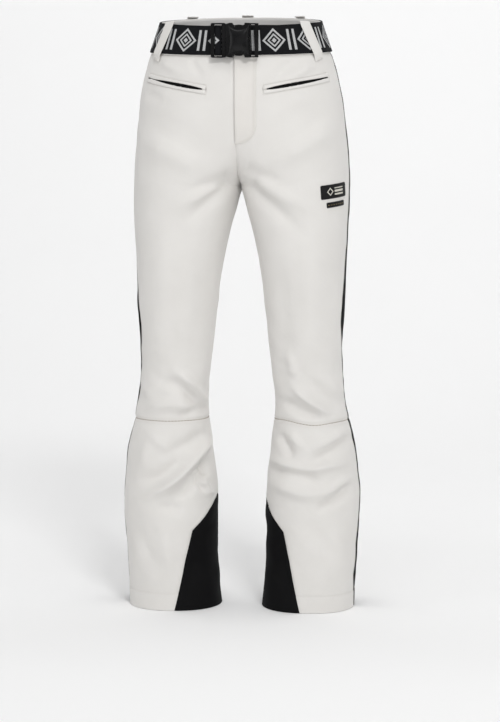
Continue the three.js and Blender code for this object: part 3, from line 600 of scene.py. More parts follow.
def webbing_material():
    """Ribbed black elastic with a woven light pattern of nested diamonds and bars."""
    m, nt, sh = node_material("belt_webbing")
    tc = nt.nodes.new("ShaderNodeUVMap")
    tc.uv_map = "UVMap"
    sep = nt.nodes.new("ShaderNodeSeparateXYZ")
    nt.links.new(tc.outputs[0], sep.inputs[0])
    x, y = sep.outputs[0], sep.outputs[1]  # metres along, metres up from the belt's middle line
    fx = math_node(nt, "FRACT", math_node(nt, "DIVIDE", math_node(nt, "ADD", x, 10.0), 0.058))
    cx = math_node(nt, "MULTIPLY", math_node(nt, "SUBTRACT", fx, 0.5), 0.058)
    ax, ay = math_node(nt, "ABSOLUTE", cx), math_node(nt, "ABSOLUTE", y)
    dia = math_node(nt, "ADD", math_node(nt, "MULTIPLY", ax, 1.05), ay)

    def ring(radius, half):
        return math_node(nt, "LESS_THAN", math_node(nt, "ABSOLUTE", math_node(nt, "SUBTRACT", dia, radius)), half)

    def bar(at, half, high):
        a = math_node(nt, "LESS_THAN", math_node(nt, "ABSOLUTE", math_node(nt, "SUBTRACT", ax, at)), half)
        return math_node(nt, "MULTIPLY", a, math_node(nt, "LESS_THAN", ay, high))

    shape = math_node(nt, "MAXIMUM", ring(0.0178, 0.0021), ring(0.0098, 0.0017))
    shape = math_node(nt, "MAXIMUM", shape, ring(0.0, 0.0042))
    shape = math_node(nt, "MAXIMUM", shape, math_node(nt, "MULTIPLY", bar(0.0242, 0.0021, 0.0172), 1.0))
    inside = math_node(nt, "LESS_THAN", ay, 0.0205)
    shape = math_node(nt, "MULTIPLY", shape, inside)
    ribs = math_node(nt, "SINE", math_node(nt, "MULTIPLY", y, 2 * math.pi / 0.00125))
    picks = math_node(nt, "SINE", math_node(nt, "MULTIPLY", x, 2 * math.pi / 0.0016))
    rib = math_node(nt, "MULTIPLY_ADD", math_node(nt, "MULTIPLY", ribs, picks), 0.5, 0.5)
    noise = N_(nt, "ShaderNodeTexNoise")
    noise.inputs["Scale"].default_value = 700
    nt.links.new(uv_coord(nt, 1.0), noise.inputs[0])
    lightcol = ramp(nt, noise.outputs[0], [(0.3, (0.36, 0.365, 0.37)), (0.7, (0.56, 0.565, 0.57))])
    darkcol = ramp(nt, rib, [(0.0, (0.0032, 0.0034, 0.0042)), (1.0, (0.0085, 0.009, 0.011))])
    mx = nt.nodes.new("ShaderNodeMix")
    mx.data_type = "RGBA"
    nt.links.new(shape, mx.inputs["Factor"])
    nt.links.new(darkcol, mx.inputs["A"])
    nt.links.new(lightcol, mx.inputs["B"])
    nt.links.new(mx.outputs["Result"], sh.inputs["Base Color"])
    sh.inputs["Roughness"].default_value = 0.8
    sh.inputs["Sheen Weight"].default_value = 0.02
    sh.inputs["Specular IOR Level"].default_value = 0.12
    bump(nt, sh, math_node(nt, "ADD", rib, math_node(nt, "MULTIPLY", shape, 0.8)), 0.5, 0.0003)
    return m


WEBBING = webbing_material()


def plastic_material(name, col, rough, coat=0.0, grain=0.2, distance=0.0001):
    m, nt, sh = node_material(name)
    tc = nt.nodes.new("ShaderNodeTexCoord")
    n1 = N_(nt, "ShaderNodeTexNoise")
    n1.inputs["Scale"].default_value = 900
    n1.inputs["Detail"].default_value = 3
    nt.links.new(tc.outputs["Object"], n1.inputs[0])
    n2 = N_(nt, "ShaderNodeTexNoise")
    n2.inputs["Scale"].default_value = 55
    n2.inputs["Detail"].default_value = 5
    nt.links.new(tc.outputs["Object"], n2.inputs[0])
    c2 = tuple(min(1, v * 1.5 + 0.003) for v in col)
    nt.links.new(ramp(nt, n2.outputs[0], [(0.35, col), (0.75, c2)]), sh.inputs["Base Color"])
    nt.links.new(math_node(nt, "MULTIPLY_ADD", n2.outputs[0], 0.16, rough - 0.08), sh.inputs["Roughness"])
    bump(nt, sh, n1.outputs[0], grain, distance)
    sh.inputs["Coat Weight"].default_value = coat
    sh.inputs["Specular IOR Level"].default_value = 0.2
    sh.inputs["Coat Roughness"].default_value = 0.12
    return m


GLOSS = plastic_material("buckle_acetal", (0.0026, 0.0026, 0.003), 0.27, 0.05, 0.12)
DULL = plastic_material("moulded_black", (0.006, 0.006, 0.0065), 0.45, 0.0, 0.3)


def metal_material():
    m, nt, sh = node_material("zip_metal")
    tc = nt.nodes.new("ShaderNodeTexCoord")
    n = N_(nt, "ShaderNodeTexNoise")
    n.inputs["Scale"].default_value = 400
    nt.links.new(tc.outputs["Object"], n.inputs[0])
    nt.links.new(ramp(nt, n.outputs[0], [(0.3, (0.42, 0.42, 0.44)), (0.7, (0.55, 0.55, 0.57))]), sh.inputs["Base Color"])
    sh.inputs["Metallic"].default_value = 1.0
    nt.links.new(math_node(nt, "MULTIPLY_ADD", n.outputs[0], 0.2, 0.22), sh.inputs["Roughness"])
    bump(nt, sh, n.outputs[0], 0.15, 0.0001)
    return m


METAL = metal_material()


def badge_material(name, kind):
    """Moulded rubber with a raised light pattern: a plain ring and dashes on the large one, bars on the small one."""
    m, nt, sh = node_material(name)
    tc = nt.nodes.new("ShaderNodeUVMap")
    tc.uv_map = "UVMap"
    sep = nt.nodes.new("ShaderNodeSeparateXYZ")
    nt.links.new(tc.outputs[0], sep.inputs[0])
    x, y = sep.outputs[0], sep.outputs[1]
    if kind == "large":
        dx = math_node(nt, "ADD", x, 0.0128)
        r = math_node(nt, "ADD", math_node(nt, "ABSOLUTE", dx), math_node(nt, "ABSOLUTE", y))
        shape = math_node(nt, "LESS_THAN", math_node(nt, "ABSOLUTE", math_node(nt, "SUBTRACT", r, 0.0058)), 0.0011)
        fy = math_node(nt, "ABSOLUTE", math_node(nt, "SUBTRACT", math_node(nt, "FRACT", math_node(nt, "DIVIDE", math_node(nt, "ADD", y, 1.0), 0.0058)), 0.5))
        rows = math_node(nt, "LESS_THAN", fy, 0.3)
        xin = math_node(nt, "LESS_THAN", math_node(nt, "ABSOLUTE", math_node(nt, "SUBTRACT", x, 0.0085)), 0.0115)
        yin = math_node(nt, "LESS_THAN", math_node(nt, "ABSOLUTE", y), 0.0062)
        shape = math_node(nt, "MAXIMUM", shape, math_node(nt, "MULTIPLY", rows, math_node(nt, "MULTIPLY", xin, yin)))
        light = (0.62, 0.6, 0.54)
    else:
        fx = math_node(nt, "ABSOLUTE", math_node(nt, "SUBTRACT", math_node(nt, "FRACT", math_node(nt, "DIVIDE", math_node(nt, "ADD", x, 1.0), 0.006)), 0.5))
        shape = math_node(nt, "MULTIPLY", math_node(nt, "LESS_THAN", fx, 0.3), math_node(nt, "LESS_THAN", math_node(nt, "ABSOLUTE", y), 0.0007))
        light = (0.13, 0.1, 0.05)
    noise = N_(nt, "ShaderNodeTexNoise")
    noise.inputs["Scale"].default_value = 1500
    noise.inputs["Detail"].default_value = 3
    nt.links.new(uv_coord(nt, 1.0), noise.inputs[0])
    sh.inputs["Specular IOR Level"].default_value = 0.2
    base = ramp(nt, noise.outputs[0], [(0.3, (0.004, 0.004, 0.0045)), (0.7, (0.008, 0.008, 0.009))])
    mx = nt.nodes.new("ShaderNodeMix")
    mx.data_type = "RGBA"
    nt.links.new(shape, mx.inputs["Factor"])
    nt.links.new(base, mx.inputs["A"])
    mx.inputs["B"].default_value = (*light, 1)
    nt.links.new(mx.outputs["Result"], sh.inputs["Base Color"])
    nt.links.new(math_node(nt, "MULTIPLY_ADD", noise.outputs[0], 0.2, 0.4), sh.inputs["Roughness"])
    bump(nt, sh, math_node(nt, "ADD", math_node(nt, "MULTIPLY", noise.outputs[0], 0.2), shape), 0.5, 0.0005)
    return m


BADGE_L, BADGE_S = badge_material("badge_rubber_large", "large"), badge_material("badge_rubber_small", "small")


# ---------------------------------------------------------------- mesh making
def make(name, verts, faces, mats, uv=None, normals=None, slots=None, smooth_on=True):
    """verts in mm above the hem; uv per vertex in metres."""
    v = np.asarray(verts, float).reshape(-1, 3) / 1000 - np.array([0, 0, LEVEL / 1000])
    me = bpy.data.meshes.new(name)
    me.from_pydata(v.tolist(), [], [tuple(int(i) for i in f) for f in faces])
    for m in mats if isinstance(mats, (list, tuple)) else [mats]:
        me.materials.append(m)
    if slots is not None:
        me.polygons.foreach_set("material_index", np.asarray(slots, np.int32))
    me.polygons.foreach_set("use_smooth", [smooth_on] * len(me.polygons))
    layer = me.uv_layers.new(name="UVMap")
    idx = np.zeros(len(me.loops), np.int32)
    me.loops.foreach_get("vertex_index", idx)
    if uv is None:
        uv = np.stack([v[:, 0] + v[:, 1], v[:, 2]], 1)
    layer.data.foreach_set("uv", np.asarray(uv, float).reshape(-1, 2)[idx].astype(np.float32).ravel())
    me.update()
    if normals is not None:
        me.normals_split_custom_set_from_vertices(np.asarray(normals, float).reshape(-1, 3).tolist())
    o = bpy.data.objects.new(name, me)
    scene.collection.objects.link(o)
    return o


def grid_faces(nv, nu, base=0, flip=False):
    i = np.arange(nv - 1)[:, None] * nu + np.arange(nu - 1)[None, :] + base
    f = np.stack([i, i + 1, i + nu + 1, i + nu], -1).reshape(-1, 4)
    return f[:, ::-1] if flip else f


def grid_normals(P):
    du = np.zeros_like(P)
    dv = np.zeros_like(P)
    du[:, 1:-1] = P[:, 2:] - P[:, :-2]
    du[:, 0] = P[:, 1] - P[:, 0]
    du[:, -1] = P[:, -1] - P[:, -2]
    dv[1:-1] = P[2:] - P[:-2]
    dv[0] = P[1] - P[0]
    dv[-1] = P[-1] - P[-2]
    n = np.cross(du, dv)
    return n / np.maximum(1e-9, np.linalg.norm(n, axis=-1, keepdims=True))


def sheet_mesh(name, P, Q, mats, uv, side=1, normals=None, close=(True, True, True, True), slots=None):
    """A closed sheet from an outer grid P and an inner grid Q (nv, nu, 3). close: start of row, end of row, first row, last row."""
    nv, nu = P.shape[:2]
    base = nv * nu
    flip = side < 0
    outer_f, inner_f = grid_faces(nv, nu, 0, flip), grid_faces(nv, nu, base, not flip)
    faces = [outer_f, inner_f]

    def rim(a):
        a = np.asarray(a)
        f = np.stack([a[:-1], a[1:], a[1:] + base, a[:-1] + base], -1)
        return f

    ids = np.arange(base).reshape(nv, nu)
    rims = []
    if close[0]:
        rims.append(rim(ids[:, 0]) if not flip else rim(ids[:, 0])[:, ::-1])
    if close[1]:
        rims.append(rim(ids[:, -1])[:, ::-1] if not flip else rim(ids[:, -1]))
    if close[2]:
        rims.append(rim(ids[0])[:, ::-1] if not flip else rim(ids[0]))
    if close[3]:
        rims.append(rim(ids[-1]) if not flip else rim(ids[-1])[:, ::-1])
    faces = np.vstack(faces + rims)
    V = np.vstack([P.reshape(-1, 3), Q.reshape(-1, 3)])
    U = np.vstack([uv.reshape(-1, 2)] * 2)
    nn = None
    if normals is not None:
        nn = np.vstack([normals.reshape(-1, 3), -normals.reshape(-1, 3)])
    return make(name, V, faces, mats, U, nn, slots)


THICK = 1.3


def displaced(H, U, side, extra=None, fold=1.0):
    """The outer face of the cloth with its folds. Returns points, normals of the plain form."""
    P = raw(H, U)
    n = normal(H, U)
    P[..., 0] *= side
    n[..., 0] *= side
    d = folds_at(P, n, side) * fold
    mid = np.where(P[..., 2] > CROTCH - 20, smooth(0, 16, np.abs(P[..., 0])), 1.0)
    d = d * (0.25 + 0.75 * mid)
    if extra is not None:
        d = d + extra
    return P + n * d[..., None], n


def panel(name, side, lo, hi, rows, nu, mat, seams=(1, 1, 1, 1), pad=(0, 0), inner_edge=None):
    """A cloth panel. seams: 1 where the edge is a real seam (start, end, bottom, top); pad: extra rows computed beyond the bottom and top and cut off again."""
    step = rows[1] - rows[0]
    ext = np.concatenate([rows[0] - step * np.arange(pad[0], 0, -1), rows, rows[-1] + step * np.arange(1, pad[1] + 1)])
    s = np.linspace(0, 1, nu)
    L, R = np.asarray(lo(ext), float), np.asarray(hi(ext), float)
    H = np.repeat(ext[:, None], nu, 1)
    full = (R - L) * length_at(ext)
    calm = full
    if rows[-1] > CROTCH:
        g = np.exp(-((np.arange(-14, 15) / 6.0) ** 2))
        calm = np.convolve(np.pad(full, 14, mode="edge"), g / g.sum(), "valid")
        calm = mix(full, calm, smooth(SPLIT + 60, SPLIT + 110, ext) * (1 - smooth(860, 900, ext)))
    if inner_edge == "lo":
        q = 1 - s[None, :]
        U = R[:, None] - (q * calm[:, None] + (full - calm)[:, None] * q ** 7) / length_at(ext)[:, None]
    elif inner_edge == "hi":
        q = s[None, :]
        U = L[:, None] + (q * calm[:, None] + (full - calm)[:, None] * q ** 7) / length_at(ext)[:, None]
    else:
        U = L[:, None] + (R - L)[:, None] * s[None, :]
    # the knee seam wanders a little
    P0 = raw(H, U)
    P0[..., 0] *= side
    H = H + knee_wobble(side, P0) * np.exp(-np.abs(H - KNEE_SEAM) / 30)
    width = (R - L) * length_at(ext)
    drop = np.zeros(H.shape)
    drop += 0.55 * (1 - smooth(27.5, 30.5, H)) - 0.7 * np.exp(-(((H - 29.2) / 1.5) ** 2)) - 0.25 * np.exp(-(((H - 4.0) / 1.2) ** 2))
    if seams[0]:
        drop += seam_drop(s[None, :] * width[:, None])
    if seams[1]:
        drop += seam_drop((1 - s[None, :]) * width[:, None])
    if seams[2]:
        drop += seam_drop((ext - rows[0])[:, None] * np.ones(nu)[None, :], 3.2, 1.3)
    if seams[3]:
        drop += seam_drop((rows[-1] - ext)[:, None] * np.ones(nu)[None, :], 3.2, 1.3)
    P, n = displaced(H, U, side, drop)
    nn = grid_normals(P) * side
    Q = P - nn * THICK
    a, b = pad[0], P.shape[0] - pad[1]
    arc = (U * length_at(ext)[:, None]) / 1000
    uv = np.stack([arc, H / 1000], -1)
    P, Q, nn, uv = P[a:b], Q[a:b], nn[a:b], uv[a:b]
    o = sheet_mesh(name, P, Q, mat, uv, side, nn, (True, True, bool(seams[2]), bool(seams[3])))
    return o


def const(v):
    return lambda h: np.full(np.shape(h), float(v))


def hip_fold(o):
    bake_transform(o)


def knee_bend(o):
    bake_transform(o)


UPPER_TOP = 935.0
rows_up = np.linspace(SPLIT, UPPER_TOP, 176)
rows_knee = np.linspace(KNEE_SEAM, SPLIT, 78)
rows_low = np.linspace(0, KNEE_SEAM, 132)
for s, sg in (("left", 1), ("right", -1)):
    edge_f = strip_front(sg)
    a = panel(f"front_panel_upper_{s}", sg, const(0), edge_f, rows_up, 110, WHITE, (1, 1, 0, 1), (3, 0), "lo")
    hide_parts(f"front_hip_{s}", f"front_thigh_{s}", f"groin_fold_{s}")
    b = panel(f"side_panel_upper_{s}", sg, edge_f, back_seam, rows_up, 30, BLACK, (1, 1, 0, 1), (3, 0))
    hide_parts(f"side_hip_{s}", f"side_thigh_{s}")
    c = panel(f"back_panel_upper_{s}", sg, back_seam, const(1), rows_up, 110, WHITE, (1, 1, 0, 1), (3, 0), "hi")
    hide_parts(f"back_hip_{s}", f"back_thigh_{s}")
    for o in (b, c):
        hip_fold(o)
    d = panel(f"front_panel_knee_{s}", sg, const(0), edge_f, rows_knee, 110, WHITE, (1, 1, 1, 0), (0, 3))
    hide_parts(f"knee_fold_{s}")
    e = panel(f"side_panel_knee_{s}", sg, edge_f, back_seam, rows_knee, 30, BLACK, (1, 1, 1, 0), (0, 3))
    f = panel(f"back_panel_knee_{s}", sg, back_seam, const(1), rows_knee, 110, WHITE, (1, 1, 1, 0), (0, 3))
    g = panel(f"front_flare_{s}", sg, guard_front, edge_f, rows_low, 84, WHITE, (1, 1, 0, 1))
    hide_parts(f"front_shin_{s}")
    h = panel(f"side_flare_{s}", sg, edge_f, back_seam, rows_low, 34, BLACK, (1, 1, 0, 1))
    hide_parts(f"side_shin_{s}")
    i = panel(f"back_flare_{s}", sg, back_seam, guard_back, rows_low, 84, WHITE, (1, 1, 0, 1))
    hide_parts(f"back_shin_{s}")

    def wrap_lo(hh):
        return guard_back(hh) - 1

    rows_guard = np.linspace(0, 189.5, 80)
    # the guard crosses the inseam: shares below 0 count back from 1
    su = np.linspace(0, 1, 60)
    lo_, hi_ = wrap_lo(rows_guard), guard_front(rows_guard)
    H = np.repeat(rows_guard[:, None], 60, 1)
    U = lo_[:, None] + (hi_ - lo_)[:, None] * su[None, :]
    drop = seam_drop(su[None, :] * ((hi_ - lo_) * length_at(rows_guard))[:, None]) + seam_drop((1 - su[None, :]) * ((hi_ - lo_) * length_at(rows_guard))[:, None])
    P, n = displaced(H, np.mod(U, 1.0), sg, drop)
    nn = grid_normals(P) * sg
    uv = np.stack([U * length_at(rows_guard)[:, None] / 1000, H / 1000], -1)
    j = sheet_mesh(f"scuff_guard_panel_{s}", P, P - nn * THICK, BLACK, uv, sg, nn)
    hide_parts(f"scuff_guard_{s}")
    for o in (d, e, f, g, h, i, j):
        knee_bend(o)

# ================================================================ trim and hardware
def around(h, along, off):
    """Points round the waist: 0 centre front of the left half, 1 centre back, 2 centre front of the right half."""
    h, along, off = np.broadcast_arrays(np.asarray(h, float), np.asarray(along, float), np.asarray(off, float))
    u = np.where(along <= 1, along, 2 - along)
    sg = np.where(along <= 1, 1.0, -1.0)
    P = raw(h, u)
    n = normal(h, u)
    P = P + n * off[..., None]
    P[..., 0] *= sg
    n = n.copy()
    n[..., 0] *= sg
    mid = np.abs(along - 1) < 1e-6
    P[..., 0] = np.where(mid, 0, P[..., 0])
    return P, n


def run_of(along, h=960.0):
    """Metres along the waist, for woven patterns."""
    return np.asarray(along) * float(length_at(h)) / 1000


def strap(name, centre, across, out, width, thick, mat, bulge=0.0, edge=6, uv_scale=1.0, ends=True):
    """A flat strap along a path: centre (n,3), unit vectors across and out (n,3); a rounded rectangle section."""
    n = len(centre)
    prof = []
    hw = width / 2
    r = thick / 2
    for k in range(edge + 1):
        a = -math.pi / 2 + math.pi * k / edge
        prof.append((hw - r + r * math.cos(a), r * math.sin(a)))
    top = [(x, r + bulge * (1 - (x / hw) ** 2)) for x in np.linspace(hw - r, -(hw - r), 8)[1:-1]]
    prof += top
    for k in range(edge + 1):
        a = math.pi / 2 + math.pi * k / edge
        prof.append((-(hw - r) + r * math.cos(a), r * math.sin(a)))
    prof += [(x, -r) for x in np.linspace(-(hw - r), hw - r, 8)[1:-1]]
    prof = np.array(prof)
    m = len(prof)
    w = np.ones(n) if np.isscalar(width) else None
    V = centre[:, None, :] + across[:, None, :] * prof[None, :, 0:1] + out[:, None, :] * prof[None, :, 1:2]
    faces = []
    for i in range(n - 1):
        for j in range(m):
            k = (j + 1) % m
            faces.append((i * m + j, i * m + k, (i + 1) * m + k, (i + 1) * m + j))
    V = V.reshape(-1, 3)
    run = np.concatenate([[0], np.cumsum(np.linalg.norm(np.diff(centre, axis=0), axis=1))]) / 1000
    uv = np.stack(np.broadcast_arrays(run[:, None], prof[None, :, 0] / 1000), -1).reshape(-1, 2) * uv_scale
    V = np.vstack([V, centre[:1], centre[-1:]])
    uv = np.vstack([uv, [[run[0], 0]], [[run[-1], 0]]])
    b = n * m
    for j in range(m):
        k = (j + 1) % m
        faces.append((b, k, j))
        faces.append((b + 1, (n - 1) * m + j, (n - 1) * m + k))
    return make(name, V, faces, mat, uv)


def fix_normals(o):
    bm = bmesh.new()
    bm.from_mesh(o.data)
    bmesh.ops.recalc_face_normals(bm, faces=bm.faces)
    bm.to_mesh(o.data)
    bm.free()
    return o


def capsule_run(points, normals, length=2.2, gap=1.1, radius=0.32):
    """Stitches along a line: a short rounded thread for each stitch. Returns vertices, faces."""
    P, n = np.asarray(points, float), np.asarray(normals, float)
    cum = np.concatenate([[0], np.cumsum(np.linalg.norm(np.diff(P, axis=0), axis=1))])
    count = max(1, int((cum[-1] - gap) / (length + gap)))
    ring, sides = 4, 5
    t = (gap / 2 + np.arange(count)[:, None] * (length + gap)) + np.linspace(0, length, ring)[None, :]
    c = np.stack([np.interp(t, cum, P[:, i]) for i in range(3)], -1)
    nn = np.stack([np.interp(t, cum, n[:, i]) for i in range(3)], -1)
    nn /= np.linalg.norm(nn, axis=-1, keepdims=True)
    tan = c[:, -1] - c[:, 0]
    tan /= np.maximum(1e-9, np.linalg.norm(tan, axis=-1, keepdims=True))
    side = np.cross(tan[:, None, :], nn)
    lift = np.array([-0.25, 0.16, 0.16, -0.25]) * radius / 0.32
    rad = radius * np.array([0.45, 1, 1, 0.45])
    ang = 2 * np.pi * np.arange(sides) / sides
    V = c[:, :, None, :] + nn[:, :, None, :] * (lift[None, :, None] + rad[None, :, None] * np.sin(ang)[None, None, :])[..., None] + side[:, :, None, :] * (rad[None, :, None] * np.cos(ang)[None, None, :])[..., None]
    one = []
    for i in range(ring - 1):
        for j in range(sides):
            q = (j + 1) % sides
            one.append((i * sides + j, i * sides + q, (i + 1) * sides + q, (i + 1) * sides + j))
    quads = (np.array(one)[None] + np.arange(count)[:, None, None] * ring * sides).reshape(-1, 4)
    caps = np.array([list(range(sides))[::-1], [(ring - 1) * sides + j for j in range(sides)]])
    caps = (caps[None] + np.arange(count)[:, None, None] * ring * sides).reshape(-1, sides)
    return V.reshape(-1, 3), quads, caps


class Stitching:
    """Collects stitched lines and makes one object of them."""

    def __init__(self):
        self.V, self.Q, self.C, self.n = [], [], [], 0

    def add(self, pts, nrm, **kw):
        v, q, c = capsule_run(pts, nrm, **kw)
        self.V.append(v)
        self.Q.append(q + self.n)
        self.C.append(c + self.n)
        self.n += len(v)

    def done(self, name, mat):
        return fix_normals(make(name, np.vstack(self.V), np.vstack(self.Q).tolist() + np.vstack(self.C).tolist(), mat))


def surface_line(hs, us, side, off=0.35, drop=None):
    """Points just on the outer cloth along given rows and shares, with the folds."""
    H, U = np.asarray(hs, float), np.asarray(us, float)
    P0 = raw(H, U)
    P0[..., 0] *= side
    H2 = H + knee_wobble(side, P0) * np.exp(-np.abs(H - KNEE_SEAM) / 30)
    P, n = displaced(H2[None, :], np.mod(U, 1.0)[None, :] if (U < 0).any() or (U > 1).any() else U[None, :], side)
    d = 0.0 if drop is None else drop
    return (P + n * (off + d))[0], n[0]


def bevelled(node, width, segments=2, mat=None, angle=32, name=None, smooth_all=True, weld=True):
    """A copy of a CAD node with its flat faces merged and its edges rounded."""
    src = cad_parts[node]
    me = src.data.copy()
    me.name = (name or node) + "_round"
    me.transform(src.matrix_world)
    bm = bmesh.new()
    bm.from_mesh(me)
    bmesh.ops.remove_doubles(bm, verts=bm.verts, dist=1e-6)
    bmesh.ops.dissolve_limit(bm, angle_limit=math.radians(1.2), verts=bm.verts, edges=bm.edges)
    sharp = [e for e in bm.edges if e.is_manifold and e.calc_face_angle(0) > math.radians(angle)]
    bmesh.ops.bevel(bm, geom=sharp, offset=width / 1000, offset_type="OFFSET", segments=segments, profile=0.5, affect="EDGES", clamp_overlap=True)
    for f in bm.faces:
        f.smooth = True
    bm.to_mesh(me)
    bm.free()
    me.materials.clear()
    me.materials.append(mat)
    o = bpy.data.objects.new((name or node) + "_finished", me)
    scene.collection.objects.link(o)
    mod = o.modifiers.new("wn", "WEIGHTED_NORMAL")
    mod.keep_sharp = False
    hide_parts(node)
    return o


# ---------------------------------------------------------------- waistband
TOPROW = 985.0
al = np.linspace(0.012, 1.988, 420)
prof = [(934.6, -1.5), (934.6, 0.5), (936.5, 1.0), (941, 1.25), (950, 1.35), (960, 1.35), (972, 1.25), (980, 1.05), (983.4, 0.6), (984.9, -0.4), (985.0, -1.6), (983.5, -1.9), (975, -1.6), (960, -1.55), (945, -1.55)]
V, uvs = [], []
for h, off in prof:
    ripple = 0.22 * np.sin(al * 61) * np.cos(al * 23 + h / 14) if 936 < h < 984 else 0
    P, n = around(np.full(al.shape, h), al, off + ripple)
    V.append(P)
    uvs.append(np.stack([run_of(al), np.full(al.shape, h / 1000)], -1))
V = np.array(V)
m, n_ = V.shape[:2]
faces = []
for i in range(m):
    k = (i + 1) % m
    a = np.arange(n_ - 1)
    faces += [(i * n_ + j, k * n_ + j, k * n_ + j + 1, i * n_ + j + 1) for j in a]
faces.append(tuple(i * n_ for i in range(m)))
faces.append(tuple(i * n_ + n_ - 1 for i in range(m))[::-1])
band = fix_normals(make("waistband_outer", V.reshape(-1, 3), faces, WHITE, np.array(uvs).reshape(-1, 2)))
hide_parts("waistband_shell")
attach(band, "pelvis")
prof = [(936.2, -1.9), (938, -2.2), (950, -2.3), (965, -2.3), (980, -2.2), (983.6, -1.95), (983.8, -3.0), (980, -3.3), (965, -3.4), (950, -3.4), (938, -3.3), (936.0, -3.0)]
V = []
uvs = []
for h, off in prof:
    P, n = around(np.full(al.shape, h), al, off)
    V.append(P)
    uvs.append(np.stack([run_of(al), np.full(al.shape, h / 1000)], -1))
V = np.array(V)
m, n_ = V.shape[:2]
faces = []
for i in range(m):
    k = (i + 1) % m
    faces += [(i * n_ + j, k * n_ + j, k * n_ + j + 1, i * n_ + j + 1) for j in range(n_ - 1)]
faces.append(tuple(i * n_ for i in range(m)))
faces.append(tuple(i * n_ + n_ - 1 for i in range(m))[::-1])
facing = fix_normals(make("waistband_lining", V.reshape(-1, 3), faces, LINING, np.array(uvs).reshape(-1, 2)))
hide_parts("waistband_facing")
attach(facing, "pelvis")
# two soft grip lines printed inside the waistband
for k, h in enumerate((949.0, 971.0)):
    P, n = around(np.full(al.shape, h), al, -3.55)
    tang = np.gradient(P, axis=0)
    tang /= np.linalg.norm(tang, axis=1, keepdims=True)
    up = np.cross(n, tang)
    up /= np.linalg.norm(up, axis=1, keepdims=True)
    g = strap(f"grip_line_{k}", P[4:-4], up[4:-4], -n[4:-4], 4.0, 0.6, TAPE, 0.2, 3)
    fix_normals(g)
    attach(g, "pelvis")
# stitching along the waistband: top edge and seam
st = Stitching()
for h, off in ((980.5, 1.25), (937.8, 1.2)):
    P, n = around(np.full(al.shape, h), al, off)
    st.add(P, n, length=2.6, gap=1.2, radius=0.3)
o = st.done("waistband_topstitch", THREAD_WHITE)
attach(o, "pelvis")

# ---------------------------------------------------------------- belt webbing
LOOPS = {"front_left": (0.3285, 0.000525), "front_right": (2 - 0.3285, -0.000525), "back_left": (0.74, 0), "back_right": (1.26, 0), "centre_back": (1.0, 0)}


def front_along(x):
    return float(share_at_x(960.0, abs(x))[0]) if x > 0 else 2 - float(share_at_x(960.0, abs(x))[0])


def belt(name, a0, a1, count, node, tuck=None):
    a = np.linspace(a0, a1, count)
    rows = np.array([935.2, 935.25, 936.0, 938, 943, 948, 954, 960, 966, 972, 977, 982, 984.0, 984.75, 984.8])
    rim = np.array([0.9, 0.3, 0.05, 0, 0, 0, 0, 0, 0, 0, 0, 0, 0.05, 0.3, 0.9])
    H = np.repeat(rows[:, None], count, 1)
    A = np.repeat(a[None, :], len(rows), 0)
    wave = 0.35 * np.sin(A * 37 + 1) * np.cos(H / 17) + 0.25 * np.sin(A * 90) * (H - 960) / 25
    near = np.zeros(A.shape)
    for b, sl in LOOPS.values():
        near = np.maximum(near, np.exp(-(((A - b) / 0.03) ** 2)))
    wave = wave * (1 - near)
    outer_, n = around(H, A, 3.3 + wave - rim[:, None] * 0.9)
    inner_, _ = around(H, A, 1.75 + wave + rim[:, None] * 0.4)
    uv = np.stack([A * float(length_at(960.0)) / 1000, (H - 960) / 1000], -1)
    o = sheet_mesh(name, outer_, inner_, WEBBING, uv, 1)
    fix_normals(o)
    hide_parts(node)
    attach(o, "pelvis")
    return o


aL = float(share_at_x(960.0, 15)[0])
belt("belt_main", aL, 2 - 0.3285, 520, "belt_webbing")
belt("belt_front_piece", 2 - 0.3285 + 0.0006, 2 - float(share_at_x(960.0, 14)[0]), 110, "belt_front_right")

# ---------------------------------------------------------------- belt loops
for key, (a0, slant) in LOOPS.items():
    path = [(924.0, 1.7), (925.4, 2.1), (926.8, 2.3), (929, 2.9), (931.6, 4.1), (934.5, 5.0), (942, 5.25), (950, 5.3), (960, 5.35), (970, 5.3), (978, 5.25), (983, 5.15), (985.5, 4.9)]
    C, Nn = [], []
    for h, off in path:
        hh = min(h, 985.0)
        P, n = around(hh, a0 + slant * (955 - min(h, 984)), off)
        P = P + np.array([0, 0, max(0, h - 985.0)])
        C.append(P)
        Nn.append(n)
    Ptop, ntop = around(985.0, a0 + slant * (955 - 984), 0.0)
    for off, dz in ((4.4, 2.0), (3.2, 2.9), (1.6, 3.05), (0.2, 2.9)):
        C.append(Ptop + ntop * off + np.array([0, 0, dz]))
        Nn.append(ntop)
    C = np.array(C)
    fine = curve_through(C, 5)
    tan = np.gradient(fine, axis=0)
    tan /= np.linalg.norm(tan, axis=1, keepdims=True)
    n0 = np.array(Nn)
    seg = np.linspace(0, len(n0) - 1, len(fine))
    nf = np.stack([np.interp(seg, np.arange(len(n0)), n0[:, i]) for i in range(3)], 1)
    acr = np.cross(tan, nf)
    acr /= np.linalg.norm(acr, axis=1, keepdims=True)
    out = np.cross(acr, tan)
    o = strap(f"loop_strap_{key}", fine, acr, out, 20.0, 1.5, WHITE, 0.25, 5)
    fix_normals(o)
    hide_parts(f"belt_loop_{key}")
    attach(o, "pelvis")
    st = Stitching()
    top = fine + out * 0.95
    for w in (-7.6, 7.6):
        st.add(top[3:-8] + acr[3:-8] * w, out[3:-8], length=2.4, gap=1.2, radius=0.28)
    # bartack near the lower end
    for k in range(9):
        q = fine[6] + out[6] * 1.0 + tan[6] * (k - 4) * 0.42
        st.add(np.array([q - acr[6] * 6.5, q, q + acr[6] * 6.5]), np.array([out[6]] * 3), length=12.4, gap=0.3, radius=0.3)
    o = st.done(f"loop_stitch_{key}", THREAD_WHITE)
    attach(o, "pelvis")

